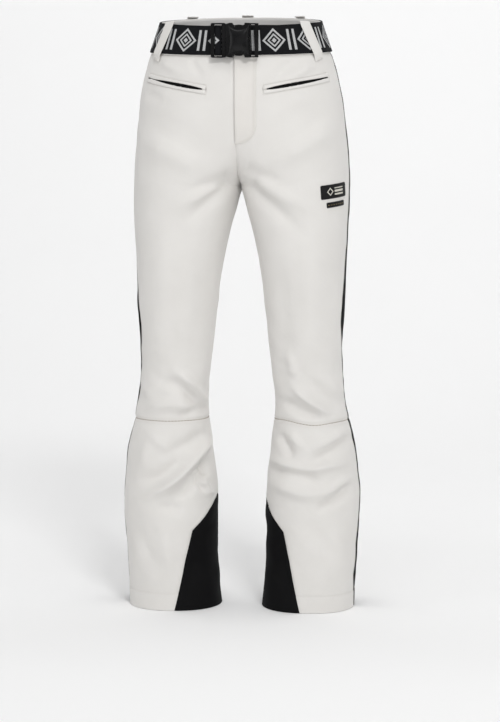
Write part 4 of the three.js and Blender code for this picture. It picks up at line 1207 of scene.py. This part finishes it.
# ---------------------------------------------------------------- buckle
socket = bevelled("buckle_socket", 0.9, 3, GLOSS)
plug = bevelled("buckle_plug", 0.8, 3, GLOSS)
pr_u = bevelled("release_prong_upper", 0.5, 2, GLOSS)
pr_l = bevelled("release_prong_lower", 0.5, 2, GLOSS)
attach(socket, "pelvis")
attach(plug, "plug")
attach(pr_u, "prong_upper")
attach(pr_l, "prong_lower")
# the socket's face is a domed shield, waisted at its top and bottom
lo, hi = (np.array(v) * 1000 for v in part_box("buckle_socket"))
ns_, nt2 = 44, 52
ss_, tt_ = np.meshgrid(np.linspace(-1, 1, ns_), np.linspace(-1, 1, nt2), indexing="ij")
dx0, dz0 = lo[0] + 20.5, (lo[2] + hi[2]) / 2 + LEVEL
half_h = 18.0 + 7.0 * np.abs(ss_) ** 2.4
half_w = 17.5 - 1.6 * (1 - np.abs(tt_) ** 2)
lift = 3.6 * (1 - np.abs(ss_) ** 3.2) * (1 - np.abs(tt_) ** 3.4)
skirt = 0.9 * np.clip(8 * (1 - np.maximum(np.abs(ss_), np.abs(tt_))), 0, 1) ** 0.5
front_ = np.stack([dx0 + half_w * ss_, lo[1] + 0.15 - lift - skirt, dz0 + half_h * tt_], -1)
back_ = np.stack([dx0 + half_w * ss_, np.full(ss_.shape, lo[1] + 1.2), dz0 + half_h * tt_], -1)
uv = np.stack([half_w * ss_ / 1000, half_h * tt_ / 1000], -1)
dome = fix_normals(sheet_mesh("buckle_socket_dome", front_, back_, GLOSS, uv, 1))
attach(dome, "pelvis")
lo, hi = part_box("belt_tab")
tabc = (np.array(lo) + np.array(hi)) / 2 * 1000 + np.array([0, 0, LEVEL])
tw, th = (hi[0] - lo[0]) * 1000, (hi[2] - lo[2]) * 1000
nseg = 24
zz = np.linspace(-th / 2, th / 2, nseg)
cen = np.stack([np.full(nseg, tabc[0]), tabc[1] + 0.25 * np.cos(zz / 6), tabc[2] + zz], 1)
tab = strap("belt_end_fold", cen, np.tile([1.0, 0, 0], (nseg, 1)), np.tile([0, -1.0, 0], (nseg, 1)), tw, (hi[1] - lo[1]) * 1000 * 0.8, WEBBING, 0.5, 6)
fix_normals(tab)
tl = tab.data.uv_layers["UVMap"].data
for lp, dat in zip(tab.data.loops, tl):
    co = tab.data.vertices[lp.vertex_index].co
    dat.uv = ((co.x * 1000 - tabc[0]) / 1000 * 0.8 + 0.0219, co.z - (tabc[2] - LEVEL) / 1000)
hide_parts("belt_tab")
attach(tab, "plug")

# ---------------------------------------------------------------- hand pockets
PK = dict(x0=50.0, h0=873.5, x1=150.0, h1=895.0)
pk0, pk1 = float(share_at_x(PK["h0"], PK["x0"])[0]), float(share_at_x(PK["h1"], PK["x1"])[0])


def pocket_at(s, across, off, side, fold=True):
    s, across, off = np.broadcast_arrays(np.asarray(s, float), np.asarray(across, float), np.asarray(off, float))
    H, U = mix(PK["h0"], PK["h1"], s) + across, mix(pk0, pk1, s)
    P = raw(H, U)
    n = normal(H, U)
    P[..., 0] *= side
    n[..., 0] *= side
    d = folds_at(P, n, side) if fold else 0
    return P + n * (off + d)[..., None], n


pk_len = float(np.linalg.norm(np.diff(pocket_at(np.linspace(0, 1, 60), 0, 0, 1, False)[0], axis=0), axis=1).sum())
for s_, sg in (("left", 1), ("right", -1)):
    # welt: two padded lips that close towards the ends of the slit, with squared ends
    nS = 120
    S = np.linspace(-0.02, 1.0, nS)
    q_ = np.clip((S - 0.02) / (0.94 if sg > 0 else 0.8), 0, 1)
    leaf = np.clip(np.sin(np.pi * q_ ** 0.72), 0, 1) ** 0.75
    openw = 0.3 + 2.5 * leaf  # half opening
    ring = 22
    Vv, Ff, Uv = [], [], []
    for sign in (1, -1):
        base = len(Vv) * 0
        rows_ = []
        for i, s in enumerate(S):
            inner_a = openw[i] if 0.02 < s < 0.96 else 0.02
            outer_a = 7.4
            mid_a, half_a = (inner_a + outer_a) / 2, (outer_a - inner_a) / 2
            end = min(1.0, min(i, nS - 1 - i) / 3.0)
            rise = 0.5 + 1.3 * math.sqrt(end)
            ang = np.linspace(0, 2 * np.pi, ring, endpoint=False)
            ca, sa = np.cos(ang), np.sin(ang)
            acr = mid_a + half_a * np.sign(ca) * np.abs(ca) ** 0.55
            off = 0.35 + np.where(sa > 0, rise * np.abs(sa) ** 0.7, 0.7 * sa)
            # the outer edge lies flat, the lip is fuller at the slit
            off = off - np.where(sa > 0, 0.55 * np.clip((acr - mid_a) / max(half_a, 0.1), 0, 1) ** 2, 0)
            P, n = pocket_at(np.full(ring, s), sign * acr, off, sg)
            rows_.append(P)
        R = np.array(rows_)
        b = len(Vv)
        Vv += list(R.reshape(-1, 3))
        for i in range(nS - 1):
            for j in range(ring):
                k = (j + 1) % ring
                Ff.append((b + i * ring + j, b + i * ring + k, b + (i + 1) * ring + k, b + (i + 1) * ring + j))
        Ff.append(tuple(b + j for j in range(ring)))
        Ff.append(tuple(b + (nS - 1) * ring + j for j in range(ring)))
        Uv += [(S[i] * pk_len / 1000, sign * j * 0.0007) for i in range(nS) for j in range(ring)]
    o = fix_normals(make(f"pocket_frame_{s_}", np.array(Vv), Ff, WHITE, np.array(Uv)))
    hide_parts(f"pocket_welt_{s_}")
    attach(o, "pelvis")
    # stitching round the welt
    st = Stitching()
    ss = np.linspace(-0.03, 1.01, 150)
    for a_ in (8.3, -8.3):
        P, n = pocket_at(ss, a_, 0.4, sg)
        st.add(P, n, length=2.1, gap=1.1, radius=0.27)
    for s0 in (-0.03, 1.01):
        P, n = pocket_at(np.full(20, s0), np.linspace(-8.3, 8.3, 20), 0.4, sg)
        st.add(P, n, length=2.1, gap=1.1, radius=0.27)
    for s0 in (0.012, 0.968):
        for k in range(5):
            P, n = pocket_at(np.full(6, s0 + (k - 2) * 0.004), np.linspace(-3.6, 3.6, 6), 2.0, sg)
            st.add(P, n, length=6.6, gap=0.2, radius=0.24)
    o = st.done(f"pocket_stitch_{s_}", THREAD_WHITE)
    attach(o, "pelvis")
    # zip: tape and coil down in the slit
    ns = 160
    S = np.linspace(-0.01, 0.985, ns)
    acr = np.linspace(-6, 6, 13)
    top_, n = pocket_at(S[None, :], acr[:, None], -3.75 + 0.0 * acr[:, None], sg, False)
    bot_, _ = pocket_at(S[None, :], acr[:, None], -4.85, sg, False)
    uv = np.stack(np.broadcast_arrays(S[None, :] * pk_len / 1000, acr[:, None] / 1000), -1)
    zp = fix_normals(sheet_mesh(f"pocket_zip_tape_{s_}", top_, bot_, TAPE, uv, sg))
    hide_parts(f"pocket_zip_{s_}")
    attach(zp, "pelvis")
    Vc, Fc = [], []
    nt_ = int(pk_len * 0.94 / 1.15)
    for k in range(nt_):
        s0 = 0.02 + 0.94 * (k + 0.5) / nt_
        for j, (da, sgn) in enumerate(((-0.45, -1), (0.45, 1))):
            c, n = pocket_at(s0 + (0.0024 if j else 0), da, -3.45, sg, False)
            c2, _ = pocket_at(s0 + (0.0024 if j else 0) + 0.004, da, -3.45, sg, False)
            t = (c2 - c) / np.linalg.norm(c2 - c)
            w = np.cross(n, t)
            b = len(Vc)
            for dw, dn, dt in ((-0.9, -0.3, -0.33), (0.9, -0.3, -0.33), (0.9, -0.3, 0.33), (-0.9, -0.3, 0.33), (-0.7, 0.32, -0.2), (0.7, 0.32, -0.2), (0.7, 0.32, 0.2), (-0.7, 0.32, 0.2)):
                Vc.append(c + w * dw + n * dn + t * dt)
            for f in ((0, 3, 2, 1), (4, 5, 6, 7), (0, 1, 5, 4), (1, 2, 6, 5), (2, 3, 7, 6), (3, 0, 4, 7)):
                Fc.append(tuple(b + i for i in f))
    o = fix_normals(make(f"pocket_coil_{s_}", np.array(Vc), Fc, DULL))
    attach(o, "pelvis")
    o = bevelled(f"pocket_slider_{s_}", 0.18, 2, DULL)
    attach(o, f"pocket_slider_body_{s_}")
    o = bevelled(f"pocket_pull_{s_}", 0.15, 2, DULL)
    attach(o, f"pocket_pull_body_{s_}")
    # pocket bag, inside
    nb, na = 36, 34
    S = np.linspace(0.02, 0.98, nb)
    T = np.linspace(0, 1, na)
    SS, TT = np.meshgrid(S, T, indexing="ij")
    ac = mix(-128 + 14 * np.abs(SS - 0.5), 9.0, TT)
    puff = 0.5 * np.sin(SS * 19 + TT * 7) * np.sin(TT * 9) + 0.35 * np.cos(SS * 31 - TT * 5)
    edge_t = np.minimum(np.minimum(smooth(0, 0.08, (SS - 0.02)), smooth(0, 0.08, 0.98 - SS)), np.minimum(smooth(0, 0.05, TT), smooth(0, 0.05, 1 - TT)))
    o_out, _ = pocket_at(SS, ac, -6.6 + puff * 0.5 * edge_t + 0.25 * edge_t, sg, False)
    o_in, _ = pocket_at(SS, ac, -7.9 + puff * edge_t - 0.3 * edge_t, sg, False)
    uv = np.stack([SS * pk_len / 1000, ac / 1000], -1)
    o = fix_normals(sheet_mesh(f"pocket_lining_bag_{s_}", o_out, o_in, LINING, uv, sg))
    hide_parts(f"pocket_bag_{s_}")
    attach(o, "pelvis")

# cut the slit out of the front panels
for s_, sg in (("left", 1), ("right", -1)):
    o = bpy.data.objects[f"front_panel_upper_{s_}"]
    S = np.linspace(0.0, 0.98, 200)
    mid, nrm = pocket_at(S, 0.0, 0.0, sg)
    me = o.data
    co = np.zeros(len(me.vertices) * 3)
    me.vertices.foreach_get("co", co)
    co = co.reshape(-1, 3) * 1000 + np.array([0, 0, LEVEL])
    # removes faces whose middle lies within 3 mm of the slit line, and closes the cut
    bm = bmesh.new()
    bm.from_mesh(me)
    bm.faces.ensure_lookup_table()
    lo_, hi_ = mid.min(0) - 12, mid.max(0) + 12
    kill = []
    for f in bm.faces:
        c = np.array(f.calc_center_median()) * 1000 + np.array([0, 0, LEVEL])
        if (c < lo_).any() or (c > hi_).any():
            continue
        d = c - mid
        i = int((d[:, 0] ** 2 + d[:, 1] ** 2).argmin())
        if abs(c[2] - mid[i, 2]) < 3.6 and (d[i, 0] ** 2 + d[i, 1] ** 2) < 16:
            kill.append(f)
    bmesh.ops.delete(bm, geom=kill, context="FACES")
    loops = [e for e in bm.edges if e.is_boundary]
    cut = [e for e in loops if all(abs((np.array(v.co) * 1000 + np.array([0, 0, LEVEL]))[2] - 884) < 22 and 40 < abs(v.co.x * 1000) < 156 for v in e.verts)]
    bmesh.ops.bridge_loops(bm, edges=cut)
    bm.to_mesh(me)
    bm.free()
    hip_fold(o)

# ---------------------------------------------------------------- fly
def front_point(x, h, off, side=1, fold=True):
    x, h, off = np.broadcast_arrays(np.asarray(x, float), np.asarray(h, float), np.asarray(off, float))
    U = np.zeros(x.shape)
    flat_x, flat_h = np.abs(x).ravel(), h.ravel()
    U = share_at_x(flat_h, flat_x).reshape(x.shape)
    P = raw(h, U)
    # the height bends a little above the crotch: step once to stay at the wanted height
    dh = h - P[..., 2]
    P = raw(h + dh, U)
    n = normal(h + dh, U)
    P[..., 0] *= side
    n[..., 0] *= side
    P[..., 0] = x
    n[np.abs(x) < 1e-6, 0] = 0
    d = 0.0
    if fold:
        dd = folds_at(P, n, side)
        mid = np.where(P[..., 2] > CROTCH - 20, smooth(0, 16, np.abs(P[..., 0])), 1.0)
        d = dd * (0.25 + 0.75 * mid)
    return P + n * (off + d)[..., None], n


FLY_W, FLY_LOW = 34.0, 782.0
nh, nx = 120, 26
hh = np.linspace(FLY_LOW - 3, 934.0, nh)
right = FLY_W * np.sqrt(np.clip(1 - (np.clip(1 - (hh - FLY_LOW + 3) / 34, 0, 1)) ** 2, 0.01, 1))
xx = np.linspace(0, 1, nx)[None, :] ** 0.8 * (right[:, None] + 2.4) - 0.4
HH = np.repeat(hh[:, None], nx, 1)
t = np.clip((xx + 0.4) / (right[:, None] + 2.8), 0, 1)
lift = 0.35 + 1.75 * (1 - smooth(0.0, 0.85, t)) + 0.25 * np.sin(HH / 11.0) * np.exp(-((xx / 8) ** 2))
lift = lift * (0.35 + 0.65 * smooth(FLY_LOW - 4, FLY_LOW + 26, HH))
fold_edge = 0.9 * np.exp(-((xx + 0.4) / 1.2) ** 2)
P_, n_ = front_point(np.maximum(xx, 0.0), HH, lift - fold_edge * 0.6)
P_[..., 0] = xx
Q_, _ = front_point(np.maximum(xx, 0.0), HH, np.minimum(lift - 0.9, -0.2 + 0 * lift) + 0.6 * (lift - 0.35) * 0.5)
Q_[..., 0] = xx
uv = np.stack([xx / 1000, HH / 1000], -1)
o = sheet_mesh("fly_cover", P_, Q_, FLYWHITE, uv, 1)
fix_normals(o)
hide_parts("fly_placket")
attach(o, "pelvis")
# J-shaped stitching in two rows
jh = np.concatenate([np.linspace(933, FLY_LOW + 30, 70), FLY_LOW + 30 - 32 * np.sin(np.linspace(0, np.pi / 2, 40)[1:])])
jx = np.concatenate([np.full(70, FLY_W), FLY_W - (FLY_W - 3) * (1 - np.cos(np.linspace(0, np.pi / 2, 40)[1:]))])
st = Stitching()
P, n = front_point(jx, jh, 0.62)
st.add(P, n, length=2.3, gap=1.0, radius=0.32)
P, n = front_point(jx - 3.0 * np.sin(np.clip((jh - FLY_LOW) / 40, 0.25, 1) * np.pi / 2), jh + 2.6 * (1 - np.clip((jh - FLY_LOW) / 34, 0, 1)), 0.82)
st.add(P, n, length=2.3, gap=1.0, radius=0.26)
o = st.done("fly_stitch", THREAD_WHITE)
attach(o, "pelvis")
for node, mat, w in (("fly_shield", LINING, 0.3), ("zip_tape_left", TAPE, 0.25), ("zip_tape_right", TAPE, 0.25)):
    o = bevelled(node, w, 2, mat)
    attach(o, "pelvis")
for node, body in (("fly_slider", "fly_slider_body"), ("fly_pull", "fly_pull_body")):
    o = bevelled(node, 0.25, 2, METAL)
    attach(o, body)
# fly zip coil teeth, leaned with the zip
lean = math.radians(3.8)
Vc, Fc = [], []
for k in range(62):
    z0 = 801.0 + k * 1.75
    if z0 > 909:
        break
    for j, sx in enumerate((-1, 1)):
        zc = z0 + (0.87 if j else 0)
        b = len(Vc)
        for dx, dy, dz in ((-0.7, 0.9, -0.5), (0.7, 0.9, -0.5), (0.7, 0.9, 0.5), (-0.7, 0.9, 0.5), (-0.6, -0.9, -0.32), (0.6, -0.9, -0.32), (0.6, -0.9, 0.32), (-0.6, -0.9, 0.32)):
            y0, z1 = -96.0 + dy, zc + dz
            yy, zz_ = y0 + 96, z1 - 915
            Vc.append((sx * 1.96 + dx, -96 + yy * math.cos(lean) - zz_ * math.sin(lean), 915 + yy * math.sin(lean) + zz_ * math.cos(lean)))
        for f in ((0, 3, 2, 1), (4, 5, 6, 7), (0, 1, 5, 4), (1, 2, 6, 5), (2, 3, 7, 6), (3, 0, 4, 7)):
            Fc.append(tuple(b + i for i in f))
o = fix_normals(make("fly_zip_teeth", np.array(Vc), Fc, METAL))
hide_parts("zip_chain")
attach(o, "pelvis")

# ---------------------------------------------------------------- badges
def badge_piece(name, x0, x1, h, high, tilt, thick, mat, node, corner):
    nu, nv = 72, 34
    rows = np.linspace(-0.5, 0.5, nv)
    cols = np.linspace(-0.5, 0.5, nu)

    def arc_to(hq, x):
        return float(share_at_x(hq, x)[0]) * float(length_at(hq))

    w = arc_to(h, x1) - arc_to(h, x0)
    mids = np.arange(h - 40, h + 41)
    midv = np.array([(arc_to(q, x0) + arc_to(q, x1)) / 2 for q in mids])
    A, B = np.meshgrid(cols * w, rows * high, indexing="xy")
    # rounded rectangle: rows get shorter near the top and bottom
    by = np.clip(np.abs(B) - (high / 2 - corner), 0, corner)
    short = corner - np.sqrt(np.maximum(0, corner ** 2 - by ** 2))
    A = A * (1 - short / (w / 2))
    edge_d = np.minimum(w / 2 - short - np.abs(A), high / 2 - np.abs(B))
    c, s = math.cos(tilt), math.sin(tilt)
    Hh = h + B * c + A * s
    Uu = (np.interp(Hh, mids, midv) + A * c - B * s) / length_at(Hh)
    round_off = np.sqrt(np.clip(1 - (1 - np.clip(edge_d / 0.9, 0, 1)) ** 2, 0, 1))
    relief = np.zeros(A.shape)
    relief += 0.28 * smooth(0.9, 1.15, edge_d) * (1 - smooth(1.9, 2.15, edge_d))
    P0, n0 = displaced(Hh, Uu, 1)
    top_ = P0 + n0 * (0.25 + (thick - 0.25) * round_off + relief)[..., None]
    bot_ = P0 + n0 * 0.12
    uv = np.stack([A / 1000, B / 1000], -1)
    o = fix_normals(sheet_mesh(name, top_, bot_, mat, uv, 1))
    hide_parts(node)
    hip_fold(o)
    return P0, n0, A, B


BL = badge_piece("thigh_badge_large", 140, 176.5, 707.5, 23.5, 0.097, 1.5, BADGE_L, "badge_large", 2.6)
BS = badge_piece("thigh_badge_small", 149.5, 175, 685.8, 9.0, 0.097, 1.3, BADGE_S, "badge_small", 1.4)

# ---------------------------------------------------------------- boot gaiters
for s_, sg in (("left", 1), ("right", -1)):
    nv, nu = 90, 260
    v = np.linspace(0, 1, nv)
    u = np.linspace(0, 1, nu)
    h = mix(34.0, 150.0, v)
    H = np.repeat(h[:, None], nu, 1)
    U = np.repeat(u[None, :], nv, 0)
    P = raw(H, U)
    C = np.stack([(inner(h) + outer(h)) / 2, (front(h) + back(h)) / 2, h], 1)[:, None, :]
    k = mix(0.71, 0.955, smooth(0, 1, v))[:, None]
    R = P - C
    L = np.linalg.norm(R, axis=-1)
    # gathers, strongest at the elastic
    g = (0.9 * np.sin(2 * np.pi * 46 * U + 1.3 * np.sin(2 * np.pi * 5 * U)) + 0.4 * np.sin(2 * np.pi * 71 * U + 2)) * (1 - smooth(0.02, 0.55, v))[:, None]
    g += 0.9 * np.sin(2 * np.pi * 9 * U + 4 * v[:, None]) * np.sin(np.pi * v)[:, None]
    cas = 0.9 * np.exp(-(((h - 39) / 4.5) ** 2))[:, None]
    out_r = k * L - 1.2 + np.minimum(g, 0.5) * 0.8 + cas * 0.3
    in_r = out_r - 0.8 - cas * 1.2
    Po = C + R * (out_r / L)[..., None]
    Pi = C + R * (in_r / L)[..., None]
    for A_ in (Po, Pi):
        A_[..., 0] *= sg
        A_[:, -1] = A_[:, 0]
    uv = np.stack([U * length_at(H) / 1000, H / 1000], -1)
    o = fix_normals(sheet_mesh(f"snow_gaiter_{s_}", Po, Pi, GAITER, uv, sg))
    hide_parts(f"boot_gaiter_{s_}")
    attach(o, f"shin_{s_}")
    # gripper elastic round the opening
    uu = np.linspace(0, 1, 220)
    hh_ = np.full(220, 38.0)
    Pc = raw(hh_, uu)
    Cc = np.array([(float(inner(38)) + float(outer(38))) / 2, (float(front(38)) + float(back(38))) / 2, 38.0])
    Rr = Pc - Cc
    kk = float(mix(0.71, 0.955, smooth(0, 1, (38 - 34) / 116)))
    Ln = np.linalg.norm(Rr, axis=1)
    ctr = Cc + Rr * ((kk * Ln - 4.0) / Ln)[:, None]
    nrm = Rr / Ln[:, None]
    ctr[:, 0] *= sg
    nrm[:, 0] *= sg
    tang = np.gradient(ctr, axis=0)
    tang /= np.linalg.norm(tang, axis=1, keepdims=True)
    up = np.tile([0, 0, 1.0], (220, 1))
    e = strap(f"gaiter_elastic_{s_}", ctr, up, -nrm, 7.0, 0.9, TAPE, 0.15, 3)
    fix_normals(e)
    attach(e, f"shin_{s_}")

# ---------------------------------------------------------------- seams and topstitching on the legs
for s_, sg in (("left", 1), ("right", -1)):
    up_, kn_, lo_ = Stitching(), Stitching(), Stitching()
    # side seams, one row each side of the black strip
    for fn, shift in ((strip_front(sg), -3.2), (back_seam, 3.2)):
        for rows, store in ((np.linspace(SPLIT, 930, 220), up_), (np.linspace(KNEE_SEAM + 2, SPLIT - 1, 100), kn_), (np.linspace(2, KNEE_SEAM - 2, 170), lo_)):
            us = fn(rows) + shift / length_at(rows)
            P, n = surface_line(rows, us, sg, 0.2)
            store.add(P, n, length=2.2, gap=1.2, radius=0.24)
    # knee seam, a row each side
    for hk, store in ((KNEE_SEAM + 4.4, kn_), (KNEE_SEAM - 4.4, lo_)):
        for a, b in ((0.004, float(strip_front(sg)(np.array([KNEE_SEAM]))[0]) - 0.006), (float(back_seam(np.array([KNEE_SEAM]))[0]) + 0.006, 0.996)):
            us = np.linspace(a, b, 160)
            P, n = surface_line(np.full(160, hk), us, sg, 0.15)
            store.add(P, n, length=2.2, gap=1.2, radius=0.24)
    # the seam itself shows as a thin darker line
    fs, bs = float(strip_front(sg)(np.array([KNEE_SEAM]))[0]), float(back_seam(np.array([KNEE_SEAM]))[0])
    dark = Stitching()
    for a, b in ((0.002, fs - 0.001), (bs + 0.001, 0.998)):
        us = np.linspace(a, b, 200)
        P, n = surface_line(np.full(200, KNEE_SEAM + 0.2), us, sg, -1.15)
        dark.add(P, n, length=5.5, gap=0.05, radius=0.62)
    o = dark.done(f"knee_seam_thread_{s_}", THREAD_BROWN)
    knee_bend(o)
    # hem: the turned-up edge is sewn 28 mm up, with a second row near the bottom
    for hk in (28.5, 4.0):
        for a, b in ((guard_front(np.array([hk]))[0] + 0.006, float(strip_front(sg)(np.array([hk]))[0]) - 0.004), (float(back_seam(np.array([hk]))[0]) + 0.004, guard_back(np.array([hk]))[0] - 0.006)):
            us = np.linspace(a, b, 160)
            P, n = surface_line(np.full(160, hk), us, sg, 0.2)
            lo_.add(P, n, length=2.2, gap=1.2, radius=0.26)
    # guard edges
    for fn, shift in ((guard_front, 2.6), (guard_back, -2.6)):
        rows = np.linspace(3, 187, 110)
        us = fn(rows) + shift / length_at(rows)
        P, n = surface_line(rows, us, sg, 0.2)
        lo_.add(P, n, length=2.2, gap=1.2, radius=0.25)
    o = up_.done(f"topstitch_thigh_{s_}", THREAD_WHITE)
    hip_fold(o)
    o = kn_.done(f"topstitch_knee_{s_}", THREAD_WHITE)
    knee_bend(o)
    o = lo_.done(f"topstitch_shin_{s_}", THREAD_WHITE)
    knee_bend(o)


# ---------------------------------------------------------------- floor and light
def make_stage():
    pts = []
    R, FRONT, BACK_, HIGH = 1.2, -12.0, 3.0, 5.0
    prof = [(FRONT, 0.0), (BACK_ - R, 0.0)]
    for k in range(1, 13):
        a = math.radians(90 * k / 12)
        prof.append((BACK_ - R + R * math.sin(a), R - R * math.cos(a)))
    prof.append((BACK_, HIGH))
    z0 = -LEVEL / 1000 - 0.0005
    verts, faces = [], []
    for y, z in prof:
        verts += [(-13, y, z + z0), (13, y, z + z0)]
    for k in range(len(prof) - 1):
        faces.append((2 * k, 2 * k + 1, 2 * k + 3, 2 * k + 2))
    me = bpy.data.meshes.new("studio_floor")
    me.from_pydata(verts, [], faces)
    me.polygons.foreach_set("use_smooth", [True] * len(me.polygons))
    o = bpy.data.objects.new("studio_floor", me)
    scene.collection.objects.link(o)
    m, nt, sh = node_material("studio_paper")
    tc = nt.nodes.new("ShaderNodeTexCoord")
    n = N_(nt, "ShaderNodeTexNoise")
    n.inputs["Scale"].default_value = 3
    nt.links.new(tc.outputs["Object"], n.inputs[0])
    nt.links.new(ramp(nt, n.outputs[0], [(0.0, (0.945, 0.945, 0.945)), (1.0, (0.96, 0.96, 0.96))]), sh.inputs["Base Color"])
    sh.inputs["Roughness"].default_value = 0.9
    # paper on its front; seen through from behind, so that the garment can be looked at from the back
    out_ = next(n for n in nt.nodes if n.type == "OUTPUT_MATERIAL")
    geo = nt.nodes.new("ShaderNodeNewGeometry")
    clear = nt.nodes.new("ShaderNodeBsdfTransparent")
    mx = nt.nodes.new("ShaderNodeMixShader")
    nt.links.new(geo.outputs["Backfacing"], mx.inputs[0])
    nt.links.new(sh.outputs[0], mx.inputs[1])
    nt.links.new(clear.outputs[0], mx.inputs[2])
    nt.links.new(mx.outputs[0], out_.inputs["Surface"])
    me.materials.append(m)


make_stage()


def area(name, loc, target, size, power, col=(1, 1, 1)):
    d = bpy.data.lights.new(name, "AREA")
    d.shape = "RECTANGLE"
    d.size, d.size_y = size
    d.energy = power
    d.color = col
    o = bpy.data.objects.new(name, d)
    o.location = loc
    o.rotation_euler = (Vector(target) - Vector(loc)).to_track_quat("-Z", "Y").to_euler()
    scene.collection.objects.link(o)
    return o


area("key", (1.5, -4.4, 2.5), (0, 0, -0.5), (1.0, 0.7), 96)
area("fill_left", (-3.0, -2.6, -0.1), (0, 0, -0.5), (1.8, 2.6), 20)
area("fill_right", (3.0, -1.8, -0.1), (0, 0, -0.5), (1.4, 2.2), 9)
area("back_wall", (0.0, 0.9, 2.2), (0, 3.0, -0.2), (4.0, 1.0), 29)
area("top", (0.2, -2.3, 3.4), (0.1, -2.0, -1.0), (2.6, 1.6), 40)
world = bpy.data.worlds.new("world")
world.use_nodes = True
world.node_tree.nodes["Background"].inputs[0].default_value = (1, 1, 1, 1)
world.node_tree.nodes["Background"].inputs[1].default_value = 0.39
scene.world = world
scene.view_settings.view_transform = "Standard"
scene.view_settings.look = "None"
scene.view_settings.exposure = 0.0
